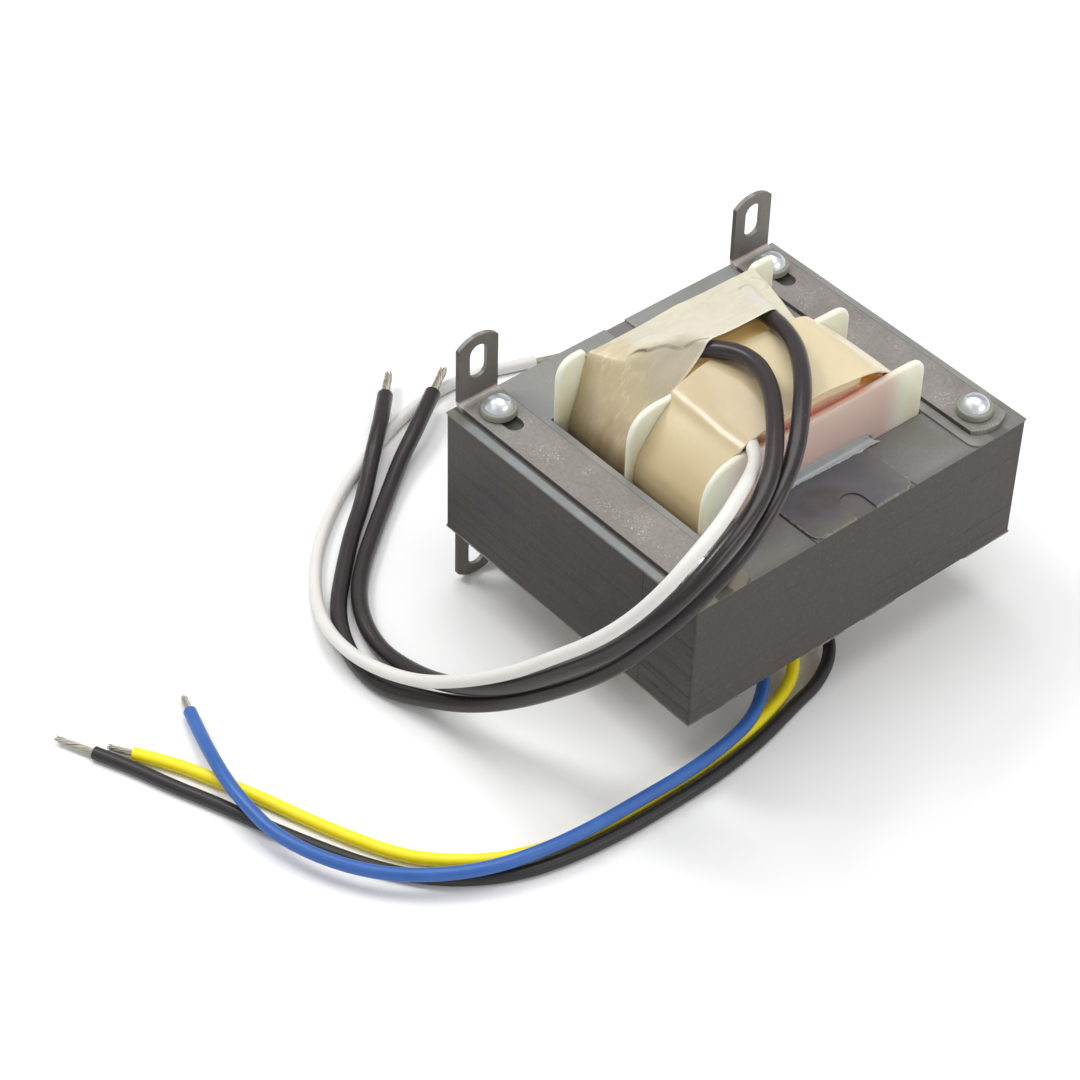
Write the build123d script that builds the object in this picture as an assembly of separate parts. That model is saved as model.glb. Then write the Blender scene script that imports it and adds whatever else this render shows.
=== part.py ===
from build123d import *
import math
import os

os.makedirs("parts", exist_ok=True)

# Open-frame core-and-coil transformer for low-voltage garden lights, in millimetres.
# X runs along the core's long side, Y to the back where the mounting tabs lie, Z up.
# Z = 0 is the end of the lower tabs, and the middle of the core is over the origin.

# Core: laminations cut without scrap, so every width follows from the tongue.
tongue = 38.1
window_width = tongue / 2
window_length = 1.5 * tongue
yoke = tongue / 2
stack = 38.1
core_edge_round = 0.8

# End laminations: one thin sheet on each face of the stack, its legs laid over the joint.
end_sheet = 0.6
leg_trim = 2.0
leg_set_out = 0.2
leg_corner = 3.0
notch_width = 7.0
notch_depth = 8.4

# Mounting brackets: L-shaped strips with one slotted tab each.
bracket_width = 13.0
bracket_sheet = 1.2
bracket_rise = 21.0
bracket_setback = 2.1
bend_inside = 0.8
end_arc = 9.5
end_corner = 0.8
tab_slot_width = 5.6
tab_slot_length = 10.4
tab_slot_rise = 12.75
strip_slot_reach = 6.2

# Fasteners: four long machine screws with a nylon washer under each head.
screw_d = 4.17
screw_clearance = 0.4
head_d = 7.7
head_height = 2.9
driver_slot_width = 1.1
driver_slot_depth = 1.3
nylon_washer_d = 9.6
nylon_washer_height = 2.2
nylon_washer_round = 0.5
flat_washer_d = 9.5
flat_washer_height = 1.0
nut_across_flats = 8.73
nut_height = 3.3
nut_clearance = 0.05
screw_past_nut = 1.2

# Bobbin: square tube on the tongue with three flanges.
bobbin_gap = 0.2
tube_wall = 1.5
flange = 2.0
flange_overhang = 19.2
flange_corner = 6.0
notch_half = 27.6
notch_slope = 2.0
notch_drop = 3.6

# Windings and the tape on them. Outlines are drawn about the core's middle.
winding_side = 16.45
winding_over = 17.55
winding_corner = 20.0
wrap = 0.8
crown_left = -24.4
crown_right = 21.5
crown_edge = 41.0
crown_end = 40.4
crown_top = 43.6
crown_crest = -3.0
crown_foot = 18.0
flank_x = 31.9
flank_z = 31.4
shoulder_x = 30.8
shoulder_z = 33.6
lens_wall = 1.0
lens_depth = 6.0
back_side = 14.35
back_over = 17.55
back_shoulder = 12.0
ridge_left_in_front = 15.5
ridge_left_in_back = 5.2
ridge_right_in_front = 11.5
ridge_right_in_back = 4.3

# Tape that tents over the heavy leads, in rows from the middle flange to the back one. A row has its distance
# behind the tape's front edge, its flank as (in from the tape's left side, over the section's top), and its
# roof as (x, over the section's top). The last row lies at the back flange.
tape_stand = 0.7
tape_set_in = 1.2
tape_back_gap = 0.405
tape_low = -17.0
tape_straight = 5.0
tent_rows = [
    (0.0, [(0, -17.4), (3.4, -11.4), (8.9, -5.8), (14.4, -0.2)],
        [(-15, 4.6), (-11.8, 8), (-9.8, 10.6), (-5, 9.9), (0.4, 9.2), (6, 9.5), (10.8, 10.2), (14.4, 9.8),
         (16.9, 6.4), (18.5, 3.6), (20.5, 2.2)]),
    (5.8, [(0, -17.9), (2.9, -11.4), (7.5, -5.4), (12.2, 0)],
        [(-18, 4.4), (-15, 7.2), (-12.2, 8.7), (-6, 7.8), (0.4, 7.3), (6, 7.7), (10.6, 8.5), (14, 8.3),
         (16.7, 5.6), (18.5, 2.9), (20.5, 1.6)]),
    (11.8, [(0.2, -18.4), (2.7, -11), (6.5, -4.6), (9.5, 0.2)],
        [(-22.8, 4.2), (-20.2, 6.4), (-17, 6.9), (-9, 5.6), (0.4, 4.8), (6, 5.2), (10.4, 6.3), (13.6, 6.3),
         (16.2, 4.4), (18.5, 2.2), (20.5, 1.2)]),
    (17.8, [(0.4, -18.9), (2.9, -10.8), (5.9, -3.9), (8.5, 1)],
        [(-24, 2.2), (-21, 3.1), (-17, 3.2), (-9, 2.6), (0.4, 2.3), (6, 2.3), (10.4, 2.8), (13.6, 2.8),
         (16.2, 2.1), (18.5, 1.3), (20.5, 0.9)]),
]
tent_end = ([(0.7, -20.4), (2.9, -11.9), (4.7, -5.4), (6.4, 0.6)],
            [(-26, 0.9), (-22, 0.8), (-17, 0.8), (-9, 0.9), (0.4, 1.4), (6, 1.1), (10.4, 0.9), (13.6, 0.8),
             (16.2, 0.8), (18.5, 0.8), (20.5, 0.7)])
floor_right = 20.5
floor_drop = 13.4
floor_turn = -14.0
floor_turn_drop = 17.4
floor_in = 10.9
tape_bore = 20.0
tape_bore_end = 7.0
tape_bore_back = 2.0
tape_bore_ease = 0.3
film_sheet = 0.4
film_left = -20.0
film_right = 21.0
film_cut = 3.0
film_height = 3.7
film_lip = 1.5

# Leads: diameter over the insulation, stripped end, and the way each one lies.
lead_d = 3.5
heavy_lead_d = 4.6
lead_clearance = 0.4
lead_seat = 0.875
strand_d = 1.8
heavy_strand_d = 2.4
fillet_share = 0.45

# Sizes that follow.
core_long = tongue + 2 * window_width + 2 * yoke
core_deep = window_length + 2 * yoke
core_mid = stack / 2 + end_sheet + bracket_rise
core_top = core_mid + stack / 2
core_bottom = core_mid - stack / 2
sheet_top = core_top + end_sheet
strip_top = sheet_top + bracket_sheet
bolt_x = core_long / 2 - yoke / 2
bolt_y = core_deep / 2 - yoke / 2
hole_d = screw_d + 2 * screw_clearance
flange_out = window_length / 2 - bobbin_gap
flange_in = flange_out - flange
flange_half_x = tongue / 2 + window_width - bobbin_gap
flange_half_z = stack / 2 + flange_overhang
tube_in_x = tongue / 2 + bobbin_gap
tube_in_z = stack / 2 + end_sheet + bobbin_gap
tube_out_x = tube_in_x + tube_wall
tube_out_z = tube_in_z + tube_wall
winding_x = tongue / 2 + winding_side
winding_z = stack / 2 + winding_over
wrap_x = winding_x + wrap
wrap_z = winding_z + wrap
wrap_corner = winding_corner + wrap
back_x = tongue / 2 + back_side
back_z = stack / 2 + back_over
tape_side = back_x + wrap + tape_stand
tape_top = back_z + wrap
tape_front = flange / 2 + tape_set_in
tape_back = flange_in - tape_back_gap
head_seat = strip_top + nylon_washer_height
underside = core_mid - (strip_top - core_mid)
lead_start = lead_seat - flange_out

# Each route is a list of points chosen along the way the lead lies, from the coil to its end.
# name: (diameter, strand diameter, stripped length, points)
lead_routes = {
    "heavy_right": (heavy_lead_d, heavy_strand_d, 11.0, [
        (12.5, 11.5, 81.5), (12, 3.5, 84.5), (10, -4, 86.5), (5.5, -13.5, 88.5), (-3, -24.5, 90.5),
        (-12.5, -34, 90.5), (-22.5, -42.5, 87), (-33.5, -48, 83.5), (-43, -50.5, 77.5), (-52.5, -51, 72),
        (-61.5, -49.5, 65.5), (-69, -45, 55.5), (-74.5, -36, 42), (-79, -23, 28.5), (-83.5, -9.5, 16.5),
        (-88, 2.5, 9), (-92, 14.5, 4.5), (-96, 25, 2.3), (-96.5, 35, 2.3), (-93.5, 45.5, 2.3),
        (-87.5, 56, 2.3), (-79, 65, 2.3), (-66.5, 77, 2.3), (-56, 85.5, 2.3), (-46.5, 94.5, 4),
        (-39.5, 100.5, 6.5), (-32, 107.5, 6.5), (-25.5, 114.5, 5.5)]),
    "heavy_left": (heavy_lead_d, heavy_strand_d, 11.0, [
        (-18, 13.5, 81.5), (-12.5, 9, 82.75), (-9, 2.5, 85.25), (-6.5, -4.5, 87.5), (-6.5, -12, 88.5),
        (-10, -20, 89), (-15.5, -27.5, 89.5), (-23.5, -36.5, 90), (-32, -44.5, 88.5), (-42, -49.5, 85.5),
        (-53, -52, 82.5), (-63, -52.5, 76.5), (-71.5, -48.5, 66.5), (-77.5, -39, 52.5), (-81, -27, 39.5),
        (-84, -14.5, 27), (-87, -2, 18), (-88.5, 11, 10.5), (-88.5, 24.5, 5), (-88, 37, 2.3),
        (-85, 48, 2.3), (-79, 58, 2.3), (-70.5, 66.5, 2.3), (-60, 75, 2.3), (-49, 83.5, 2.3),
        (-38, 91.5, 4), (-29, 96.5, 6), (-21.5, 101.5, 6.5), (-15, 106, 6.5)]),
    "white": (lead_d, strand_d, 9.0, [
        (-17.5, -20.5, 79.1), (-22.5, -28.5, 80.2), (-27, -34, 82.5), (-34.5, -40, 86.5), (-42, -45.5, 91),
        (-55, -52, 91.5), (-66.5, -54, 87.5), (-74, -53, 81), (-79, -47.5, 70.5), (-82, -38.5, 58.5),
        (-84, -27, 46), (-86.5, -14.5, 32.5), (-90, -1, 21.5), (-93.5, 11.5, 13.5), (-96, 23.5, 9),
        (-98, 35, 7.5), (-96.5, 47.5, 5.5), (-91, 60, 2.5), (-84.5, 70, 1.75), (-76.5, 79, 1.75),
        (-65.5, 88, 1.75), (-52, 96.5, 1.75), (-38, 102.5, 1.75), (-22.5, 108.5, 1.75), (-8.5, 110.5, 1.75),
        (3, 109.5, 1.75), (12.5, 106, 1.75), (20.5, 103, 1.75)]),
    "blue": (lead_d, strand_d, 6.0, [
        (-14, lead_start, 6), (-17, -33.5, 6), (-22.5, -39.5, 6), (-32, -45.5, 6), (-44, -48, 6),
        (-57.5, -49, 6), (-73, -48.5, 6), (-89, -48, 6), (-103.5, -46, 6), (-116, -42.5, 6),
        (-127, -36.5, 6), (-136.5, -28.5, 6), (-143, -19.5, 6), (-147.5, -9.5, 6), (-150, 0.5, 6),
        (-150, 10.5, 6.5), (-149, 20, 6.5), (-146, 31, 5), (-142.5, 41.5, 3), (-139.5, 50, 2)]),
    "yellow": (lead_d, strand_d, 6.5, [
        (-3.5, lead_start, 5.8), (-6, -33.5, 4.5), (-11.5, -39, 3), (-20, -42.5, 1.75), (-33, -45.5, 1.75),
        (-49.5, -47, 1.75), (-66.5, -47, 1.75), (-82.5, -46.5, 1.75), (-96.5, -44, 1.75), (-109, -39.5, 1.75),
        (-119, -32.5, 1.75), (-127.5, -23.5, 1.75), (-133.5, -11.5, 1.75), (-138.5, 1, 1.75),
        (-143.5, 15.5, 1.75), (-148.5, 27, 1.75), (-153, 37.5, 1.75), (-159, 47, 1.75)]),
    "black": (lead_d, strand_d, 11.0, [
        (8.5, lead_start, 5.8), (6, -34, 4.5), (1, -40, 3), (-7.5, -44, 1.75), (-16, -45.5, 1.75),
        (-32, -49.5, 1.75), (-49, -51.5, 1.75), (-66, -51.5, 1.75), (-82, -51, 1.75), (-97, -49, 1.75),
        (-109.5, -45.5, 1.75), (-120.5, -39, 1.75), (-129, -31, 1.75), (-136, -20.5, 1.75), (-142, -8, 1.75),
        (-148, 6.5, 1.75), (-153, 20.5, 1.75), (-158, 32, 1.75), (-162, 43.5, 1.75), (-166.5, 53.5, 1.75)]),
}


def bolts(make):
    """One copy of what `make` builds at each of the four screw places."""
    places = [(x, y) for x in (-bolt_x, bolt_x) for y in (-bolt_y, bolt_y)]
    return [Pos(x, y, 0) * make() for x, y in places]


def bolt_holes(z_low, z_high):
    """Four clearance holes as one cutter between two levels."""
    drill = Pos(0, 0, (z_low + z_high) / 2) * Cylinder(hole_d / 2, z_high - z_low)
    return [Pos(x, y, 0) * drill for x in (-bolt_x, bolt_x) for y in (-bolt_y, bolt_y)]


def round_uprights(body, y):
    """Round the two outer upright edges of the core that stand at one y."""
    edges = body.edges().filter_by(Axis.Z)
    corners = edges.filter_by(lambda e: abs(abs(e.center().X) - core_long / 2) < 0.01)
    corners = corners.filter_by(lambda e: abs(e.center().Y - y) < 0.01)
    return fillet(corners, core_edge_round)


def make_e_stack():
    """The E laminations as one block: back yoke, two outer legs and the tongue."""
    joint = -window_length / 2
    outline = Pos(0, (core_deep / 2 + joint) / 2) * Rectangle(core_long, core_deep / 2 - joint)
    for side in (-1, 1):
        outline -= Pos(side * (tongue + window_width) / 2, 0) * Rectangle(window_width, window_length)
    body = Pos(0, 0, core_bottom) * extrude(outline, stack)
    body = round_uprights(body, core_deep / 2)
    return body - bolt_holes(core_bottom - 1, core_top + 1)


def make_i_stack():
    """The I laminations as one block across the front of the legs."""
    joint = -window_length / 2
    body = Pos(0, joint - yoke / 2, core_mid) * Box(core_long, yoke, stack)
    body = round_uprights(body, -core_deep / 2)
    return body - bolt_holes(core_bottom - 1, core_top + 1)


def make_end_lamination():
    """The upper end sheet: three legs that reach the front edge, and a notch in each long edge."""
    inner = tongue / 2 - leg_trim
    outer = tongue / 2 + window_width + leg_set_out
    slot_back = window_length / 2
    slot_front = -core_deep / 2
    outline = Rectangle(core_long, core_deep)
    for side in (-1, 1):
        gap = Rectangle(outer - inner, slot_back - slot_front)
        outline -= Pos(side * (inner + outer) / 2, (slot_back + slot_front) / 2) * gap
    free = outline.vertices().filter_by(lambda v: abs(v.Y - slot_front) < 0.01 and abs(v.X) < outer + 0.01)
    outline = fillet(free, leg_corner)
    for end in (-1, 1):
        deep = notch_depth - notch_width / 2
        outline -= Pos(0, end * (core_deep / 2 - deep / 2)) * Rectangle(notch_width, deep)
        outline -= Pos(0, end * (core_deep / 2 - deep)) * Circle(notch_width / 2)
    body = Pos(0, 0, core_top) * extrude(outline, end_sheet)
    return body - bolt_holes(core_top - 1, sheet_top + 1)


def below(body):
    """The same piece turned over to the underside of the core."""
    return mirror(body, Plane.XY.offset(core_mid))


def rounded_strip(length):
    """A strip from the origin along +Y whose far end is an arc with eased corners."""
    strip = Pos(0, length / 2) * Rectangle(bracket_width, length)
    end = Pos(0, length - end_arc) * Circle(end_arc)
    keep = Pos(0, (length - end_arc) / 2) * Rectangle(2 * end_arc, length - end_arc)
    strip = strip & (end + keep)
    drop = end_arc - math.sqrt(end_arc ** 2 - (bracket_width / 2) ** 2)
    tips = strip.vertices().filter_by(lambda v: abs(v.Y - (length - drop)) < 0.05)
    return fillet(tips, end_corner)


def make_bracket():
    """An upper bracket at x = 0: a strip along the core face and a slotted tab standing at the back."""
    back = core_deep / 2
    length = core_deep - bracket_setback
    strip = extrude(rounded_strip(length), bracket_sheet)
    strip = Pos(0, back, sheet_top) * Rot(0, 0, 180) * strip
    tab = extrude(rounded_strip(bracket_rise), bracket_sheet)
    tab = Pos(0, back, sheet_top) * Rot(90, 0, 0) * tab
    body = strip + tab
    along = body.edges().filter_by(Axis.X)
    inside = along.filter_by(lambda e: abs(e.center().Y - back + bracket_sheet) < 0.01)
    inside = inside.filter_by(lambda e: abs(e.center().Z - strip_top) < 0.01)
    body = fillet(inside, bend_inside)
    along = body.edges().filter_by(Axis.X)
    outside = along.filter_by(lambda e: abs(e.center().Y - back) < 0.01)
    outside = outside.filter_by(lambda e: abs(e.center().Z - sheet_top) < 0.01)
    body = fillet(outside, bend_inside + bracket_sheet)
    drill = Pos(0, 0, sheet_top + bracket_sheet / 2) * Cylinder(hole_d / 2, 3 * bracket_sheet)
    body -= Pos(0, -bolt_y, 0) * drill
    body -= Pos(0, bolt_y, 0) * drill
    body -= Pos(0, bolt_y - strip_slot_reach, 0) * drill
    middle = Box(hole_d, strip_slot_reach, 3 * bracket_sheet)
    body -= Pos(0, bolt_y - strip_slot_reach / 2, sheet_top + bracket_sheet / 2) * middle
    slot = extrude(SlotOverall(tab_slot_length, tab_slot_width, 90), 2 * bracket_sheet, both=True)
    body -= Pos(0, back - bracket_sheet / 2, sheet_top + tab_slot_rise) * Rot(90, 0, 0) * slot
    return body


def make_screw():
    """A slotted round-head screw whose shank runs through to below the nut."""
    radius = ((head_d / 2) ** 2 + head_height ** 2) / (2 * head_height)
    ball = Pos(0, 0, head_seat + head_height - radius) * Sphere(radius)
    above = Pos(0, 0, head_seat + head_height) * Box(2 * head_d, 2 * head_d, 2 * head_height)
    head = ball & above
    cut = Box(driver_slot_width, 2 * head_d, 2 * driver_slot_depth)
    head -= Pos(0, 0, head_seat + head_height) * Rot(0, 0, 35) * cut
    tip = underside - flat_washer_height - nut_height - screw_past_nut
    shank = Pos(0, 0, (head_seat + tip) / 2) * Cylinder(screw_d / 2, head_seat - tip)
    return head + shank


def make_nylon_washer():
    """A nylon washer with an eased rim, under a screw head."""
    disc = Cylinder(nylon_washer_d / 2, nylon_washer_height)
    disc = fillet(disc.edges().filter_by(GeomType.CIRCLE), nylon_washer_round)
    disc -= Cylinder(screw_d / 2 + screw_clearance / 2, 2 * nylon_washer_height)
    return Pos(0, 0, strip_top + nylon_washer_height / 2) * disc


def make_flat_washer():
    """A flat washer between a lower bracket and its nut."""
    disc = Cylinder(flat_washer_d / 2, flat_washer_height)
    disc -= Cylinder(screw_d / 2 + screw_clearance / 2, 2 * flat_washer_height)
    return Pos(0, 0, underside - flat_washer_height / 2) * disc


def make_nut():
    """A hexagon nut with its corners turned down on both faces."""
    corner = nut_across_flats / math.sqrt(3)
    prism = extrude(RegularPolygon(corner, 6), nut_height / 2, both=True)
    barrel = Cylinder(corner, nut_height)
    barrel = chamfer(barrel.edges().filter_by(GeomType.CIRCLE), 0.5)
    nut = prism & barrel
    nut -= Cylinder(screw_d / 2 + nut_clearance, 2 * nut_height)
    return Pos(0, 0, underside - flat_washer_height - nut_height / 2) * nut


def along_y(outline, y_low, y_high):
    """Extrude an X-Z outline drawn about the core's middle between two values of y."""
    return Pos(0, y_high, core_mid) * Rot(90, 0, 0) * extrude(outline, y_high - y_low)


def lead_bore(name, back_off, reach, run=0, ease=0.0):
    """A straight bore round one run of a lead, from the run's start to `reach` along it."""
    d, _, _, points = lead_routes[name]
    first = Vector(*points[run])
    heading = (Vector(*points[run + 1]) - first).normalized()
    plane = Plane(origin=first - heading * back_off, z_dir=heading)
    return extrude(plane * Circle(d / 2 + lead_clearance + ease), reach + back_off)


def exit_notch():
    """The shallow cut between the back flange's ears, where tape and leads cross it."""
    low = flange_half_z - notch_drop
    high = flange_half_z + 1
    wide = notch_half + notch_slope
    return make_face(Polyline((-notch_half, low), (notch_half, low), (wide, high), (-wide, high),
                              (-notch_half, low)))


def make_bobbin():
    """A square tube with three flanges, holes for the lower leads and a groove for the white one."""
    opening = Rectangle(2 * tube_in_x, 2 * tube_in_z)
    tube = Rectangle(2 * tube_out_x, 2 * tube_out_z) - opening
    rim = RectangleRounded(2 * flange_half_x, 2 * flange_half_z, flange_corner) - opening
    body = along_y(tube, -flange_out, flange_out)
    body += along_y(rim, -flange_out, -flange_in)
    body += along_y(rim, -flange / 2, flange / 2)
    body += along_y(rim - exit_notch() - mirror(exit_notch(), Plane.XZ), flange_in, flange_out)
    for name in ("blue", "yellow", "black"):
        body -= lead_bore(name, 0.6, 4 * flange)
    return body - lead_bore("white", 0.6, 5 * flange)


def coil_outline(half_x, half_z, corner):
    """A rounded rectangle about the core's middle."""
    return RectangleRounded(2 * half_x, 2 * half_z, corner)


def section_at(outline, y):
    """An X-Z outline drawn about the core's middle, set at one value of y."""
    return Pos(0, y, core_mid) * Rot(90, 0, 0) * outline


def tube_outline():
    """The outside of the bobbin's tube."""
    return Rectangle(2 * tube_out_x, 2 * tube_out_z)


def make_front_winding():
    """The copper between the front and middle flanges."""
    ring = coil_outline(winding_x, winding_z, winding_corner) - tube_outline()
    return along_y(ring, -flange_in, -flange / 2)


def crown_outline(inset):
    """The roof of tape over the front winding: two flanks and a low arch between two ridges."""
    left = (crown_left + inset, crown_edge - inset)
    right = (crown_right - inset, crown_end - inset)
    foot_x = wrap_x - inset
    flank = ThreePointArc((-foot_x, crown_foot), (-flank_x + inset, flank_z), left)
    arch = ThreePointArc(left, (crown_crest, crown_top - inset), right)
    shoulder = ThreePointArc(right, (shoulder_x - inset, shoulder_z), (foot_x, crown_foot))
    return make_face(flank + arch + shoulder + Line((foot_x, crown_foot), (-foot_x, crown_foot)))


def make_primary_wrap():
    """Tape round the front winding, with a crown that lifts off the copper at its front edge."""
    winding = coil_outline(winding_x, winding_z, winding_corner)
    outline = coil_outline(wrap_x, wrap_z, wrap_corner) + crown_outline(0)
    body = along_y(outline - winding, -flange_in, -flange / 2)
    above = Pos(0, winding_z + wrap_z) * Rectangle(2 * wrap_x, 2 * wrap_z)
    body -= along_y(crown_outline(lens_wall) & above, -flange_in - 1, -flange_in + lens_depth)
    body -= lead_bore("heavy_left", 0, 12, 2)
    return body - lead_bore("white", 0, 20)


def back_outline(left, right, grow):
    """An eight-sided outline of the back section with its top ridges at left and right."""
    side = back_x + grow
    top = back_z + grow
    west = left - grow / 2
    east = right + grow / 2
    corners = [(west, top), (east, top), (side, back_shoulder), (side, -back_shoulder)]
    corners += [(east, -top), (west, -top), (-side, -back_shoulder), (-side, back_shoulder)]
    return make_face(Polyline(*corners, corners[0]))


def back_section(grow):
    """The back section's body, wider across the top at the back than at the middle flange."""
    front = back_outline(ridge_left_in_front - back_x, back_x - ridge_right_in_front, grow)
    back = back_outline(ridge_left_in_back - back_x, back_x - ridge_right_in_back, grow)
    return loft([section_at(front, flange / 2), section_at(back, flange_in)], ruled=True)


def make_back_winding():
    """The copper between the middle and back flanges."""
    return back_section(0) - along_y(tube_outline(), 0, flange_out)


def make_secondary_wrap():
    """Tape round the back winding."""
    return back_section(wrap) - back_section(0)


def tent_outline(flank, roof):
    """One row of the tented tape as a closed outline, with its floor inside the back section."""
    left = [(-tape_side, tape_low), (-tape_side, tape_straight)]
    left += [(x - tape_side, tape_top + z) for x, z in flank]
    over = [(x, tape_top + z) for x, z in roof]
    under = [(floor_right, tape_top - floor_drop), (floor_turn, tape_top - floor_turn_drop)]
    under += [(floor_in - tape_side, tape_low)]
    return make_face(Polyline(*left, *over, *under, left[0]))


def make_lead_tape():
    """Outer tape over the back winding's left side and top, tented over the two heavy leads."""
    rows = [section_at(tent_outline(flank, roof), tape_front + y) for y, flank, roof in tent_rows]
    rows += [section_at(tent_outline(*tent_end), tape_back)]
    body = loft(rows, ruled=True) - back_section(wrap)
    body -= lead_bore("heavy_right", 0, tape_bore)
    body -= lead_bore("heavy_right", tape_bore_back, tape_bore, 1, tape_bore_ease)
    body -= lead_bore("heavy_left", 0, tape_bore_end)
    return body - lead_bore("heavy_left", tape_bore_back, tape_bore, 1, tape_bore_ease)


def make_film_strip():
    """A clear film that stands at the foot of the front flange and turns out over the end sheet."""
    low = sheet_top - core_mid
    high = low + film_height
    face = Polyline((film_left, low), (film_right, low), (film_right - film_cut, high), (film_left, high),
                    (film_left, low))
    upright = along_y(make_face(face), -flange_out - film_sheet, -flange_out)
    lip = Box(film_right - film_left, film_lip, film_sheet)
    middle = (film_left + film_right) / 2
    return upright + Pos(middle, -flange_out - film_lip / 2, sheet_top + film_sheet / 2) * lip


def bend_radii(points):
    """The largest arc at each inner point that leaves the runs a short straight, in mm."""
    radii = []
    for before, here, after in zip(points, points[1:], points[2:]):
        run_in = Vector(*here) - Vector(*before)
        run_out = Vector(*after) - Vector(*here)
        turn = math.radians(run_in.get_angle(run_out))
        radii.append(fillet_share * min(run_in.length, run_out.length) / math.tan(turn / 2))
    return radii


def make_lead(name):
    """A lead swept along its route, with arcs at the points."""
    d, _, _, points = lead_routes[name]
    radii = bend_radii(points)
    path = FilletPolyline(*points, radius=radii)
    heading = Vector(*points[1]) - Vector(*points[0])
    section = Plane(origin=points[0], z_dir=heading) * Circle(d / 2)
    body = sweep(section, path=path)
    expected = math.pi * d * d / 4 * path.length
    print(name, "length", round(path.length, 1), "tightest", round(min(radii), 1), "in diameters",
          round(min(radii) / d, 1), "volume share", round(body.volume / expected, 4))
    return body


def make_tip(name):
    """The stripped strands at a lead's end, as one bundle in line with its last run."""
    _, strands, bare, points = lead_routes[name]
    heading = Vector(*points[-1]) - Vector(*points[-2])
    return extrude(Plane(origin=points[-1], z_dir=heading) * Circle(strands / 2), bare)


end_top = make_end_lamination()
bracket = make_bracket()
bracket_left = Pos(-bolt_x, 0, 0) * bracket
bracket_right = Pos(bolt_x, 0, 0) * bracket

pieces = {
    "e_stack": make_e_stack(),
    "i_stack": make_i_stack(),
    "end_lamination_top": end_top,
    "end_lamination_bottom": below(end_top),
    "bobbin": make_bobbin(),
    "primary_winding": make_front_winding(),
    "secondary_winding": make_back_winding(),
    "primary_wrap": make_primary_wrap(),
    "secondary_wrap": make_secondary_wrap(),
    "lead_tape": make_lead_tape(),
    "film_strip": make_film_strip(),
    "bracket_upper_left": bracket_left,
    "bracket_upper_right": bracket_right,
    "bracket_lower_left": below(bracket_left),
    "bracket_lower_right": below(bracket_right),
    "through_screws": Compound(children=bolts(make_screw)),
    "insulating_washers": Compound(children=bolts(make_nylon_washer)),
    "flat_washers": Compound(children=bolts(make_flat_washer)),
    "hex_nuts": Compound(children=bolts(make_nut)),
}
for lead in lead_routes:
    pieces["lead_" + lead] = make_lead(lead)
    pieces["tip_" + lead] = make_tip(lead)

for node, body in pieces.items():
    box = body.bounding_box()
    print(node, "solids", len(body.solids()), "volume", round(body.volume, 1), "valid", body.is_valid,
          "low", [round(v, 2) for v in box.min], "high", [round(v, 2) for v in box.max])
    export_step(body, "parts/" + node + ".step")
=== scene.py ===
# %% [markdown]
# A core-and-coil transformer for garden lights, dressed for a studio picture.
# The solid model is loaded first and fixes every place and size. Metal pieces keep their solids and get a
# finish. The bobbin has soft edges, and tape, film, leads and bare strands are soft or fine, so these are made
# again here as surfaces.

# %% Load the solid model
import math

import bpy
import numpy as np
from mathutils import Matrix


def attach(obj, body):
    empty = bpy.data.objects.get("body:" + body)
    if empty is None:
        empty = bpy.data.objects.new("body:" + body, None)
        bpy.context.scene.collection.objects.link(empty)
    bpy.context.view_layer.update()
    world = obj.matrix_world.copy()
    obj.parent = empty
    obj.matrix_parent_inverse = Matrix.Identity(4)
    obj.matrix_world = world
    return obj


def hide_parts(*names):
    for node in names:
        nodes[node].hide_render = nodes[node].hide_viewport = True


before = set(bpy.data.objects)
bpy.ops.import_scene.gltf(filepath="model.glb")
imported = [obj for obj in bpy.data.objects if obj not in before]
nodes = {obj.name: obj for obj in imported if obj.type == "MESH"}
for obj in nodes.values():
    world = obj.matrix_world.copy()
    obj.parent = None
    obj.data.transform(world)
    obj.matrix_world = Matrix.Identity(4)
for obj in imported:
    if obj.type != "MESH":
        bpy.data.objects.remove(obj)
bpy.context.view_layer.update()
MM = 0.001  # one millimetre in metres
MID = 40.65  # height of the core's middle above the floor, in millimetres

# %% [markdown]
# The camera stands where the photo was taken from. Six straight edges of the core were enough to work out the
# turn, tilt, roll and distance. It could be aimed with a tracking constraint, but writing the three axes
# straight into the matrix keeps the small roll and the off-centre framing.

# %% Camera
def look_axes(turn, tilt, roll):
    """Right, up and back unit vectors of a camera turned, tilted and rolled by these angles in degrees."""
    a, e, r = np.radians([turn, tilt, roll])
    back = np.array([np.sin(a) * np.cos(e), -np.cos(a) * np.cos(e), np.sin(e)])
    right = np.array([np.cos(a), np.sin(a), 0.0])
    up = np.cross(back, right)
    return right * np.cos(r) + up * np.sin(r), up * np.cos(r) - right * np.sin(r), back


right, up, back = look_axes(-41.182, 42.479, 1.555)
distance, aside, below = 835.074, 50.031, 17.471
place = (distance * back - aside * right - below * up + [0, 0, MID]) * MM
lens = bpy.data.cameras.new("camera")
lens.lens = 106.945
lens.sensor_width = 36.0
lens.clip_start = 0.01
camera = bpy.data.objects.new("camera", lens)
camera.matrix_world = Matrix([[*row, p] for row, p in zip(np.stack([right, up, back], 1), place)] + [[0, 0, 0, 1]])
bpy.context.scene.collection.objects.link(camera)
bpy.context.scene.camera = camera
print("camera at", np.round(place, 4))

# %% [markdown]
# The picture is lit from all round: a big soft box overhead, a small bright one high at the back with a faint
# one to its right, and two more that fill in from the left and the front. The small bright one is placed where
# a ridge of the tape mirrors it to the camera, which draws the bright line there. Point lamps would give dots in
# place of streaks.

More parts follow.
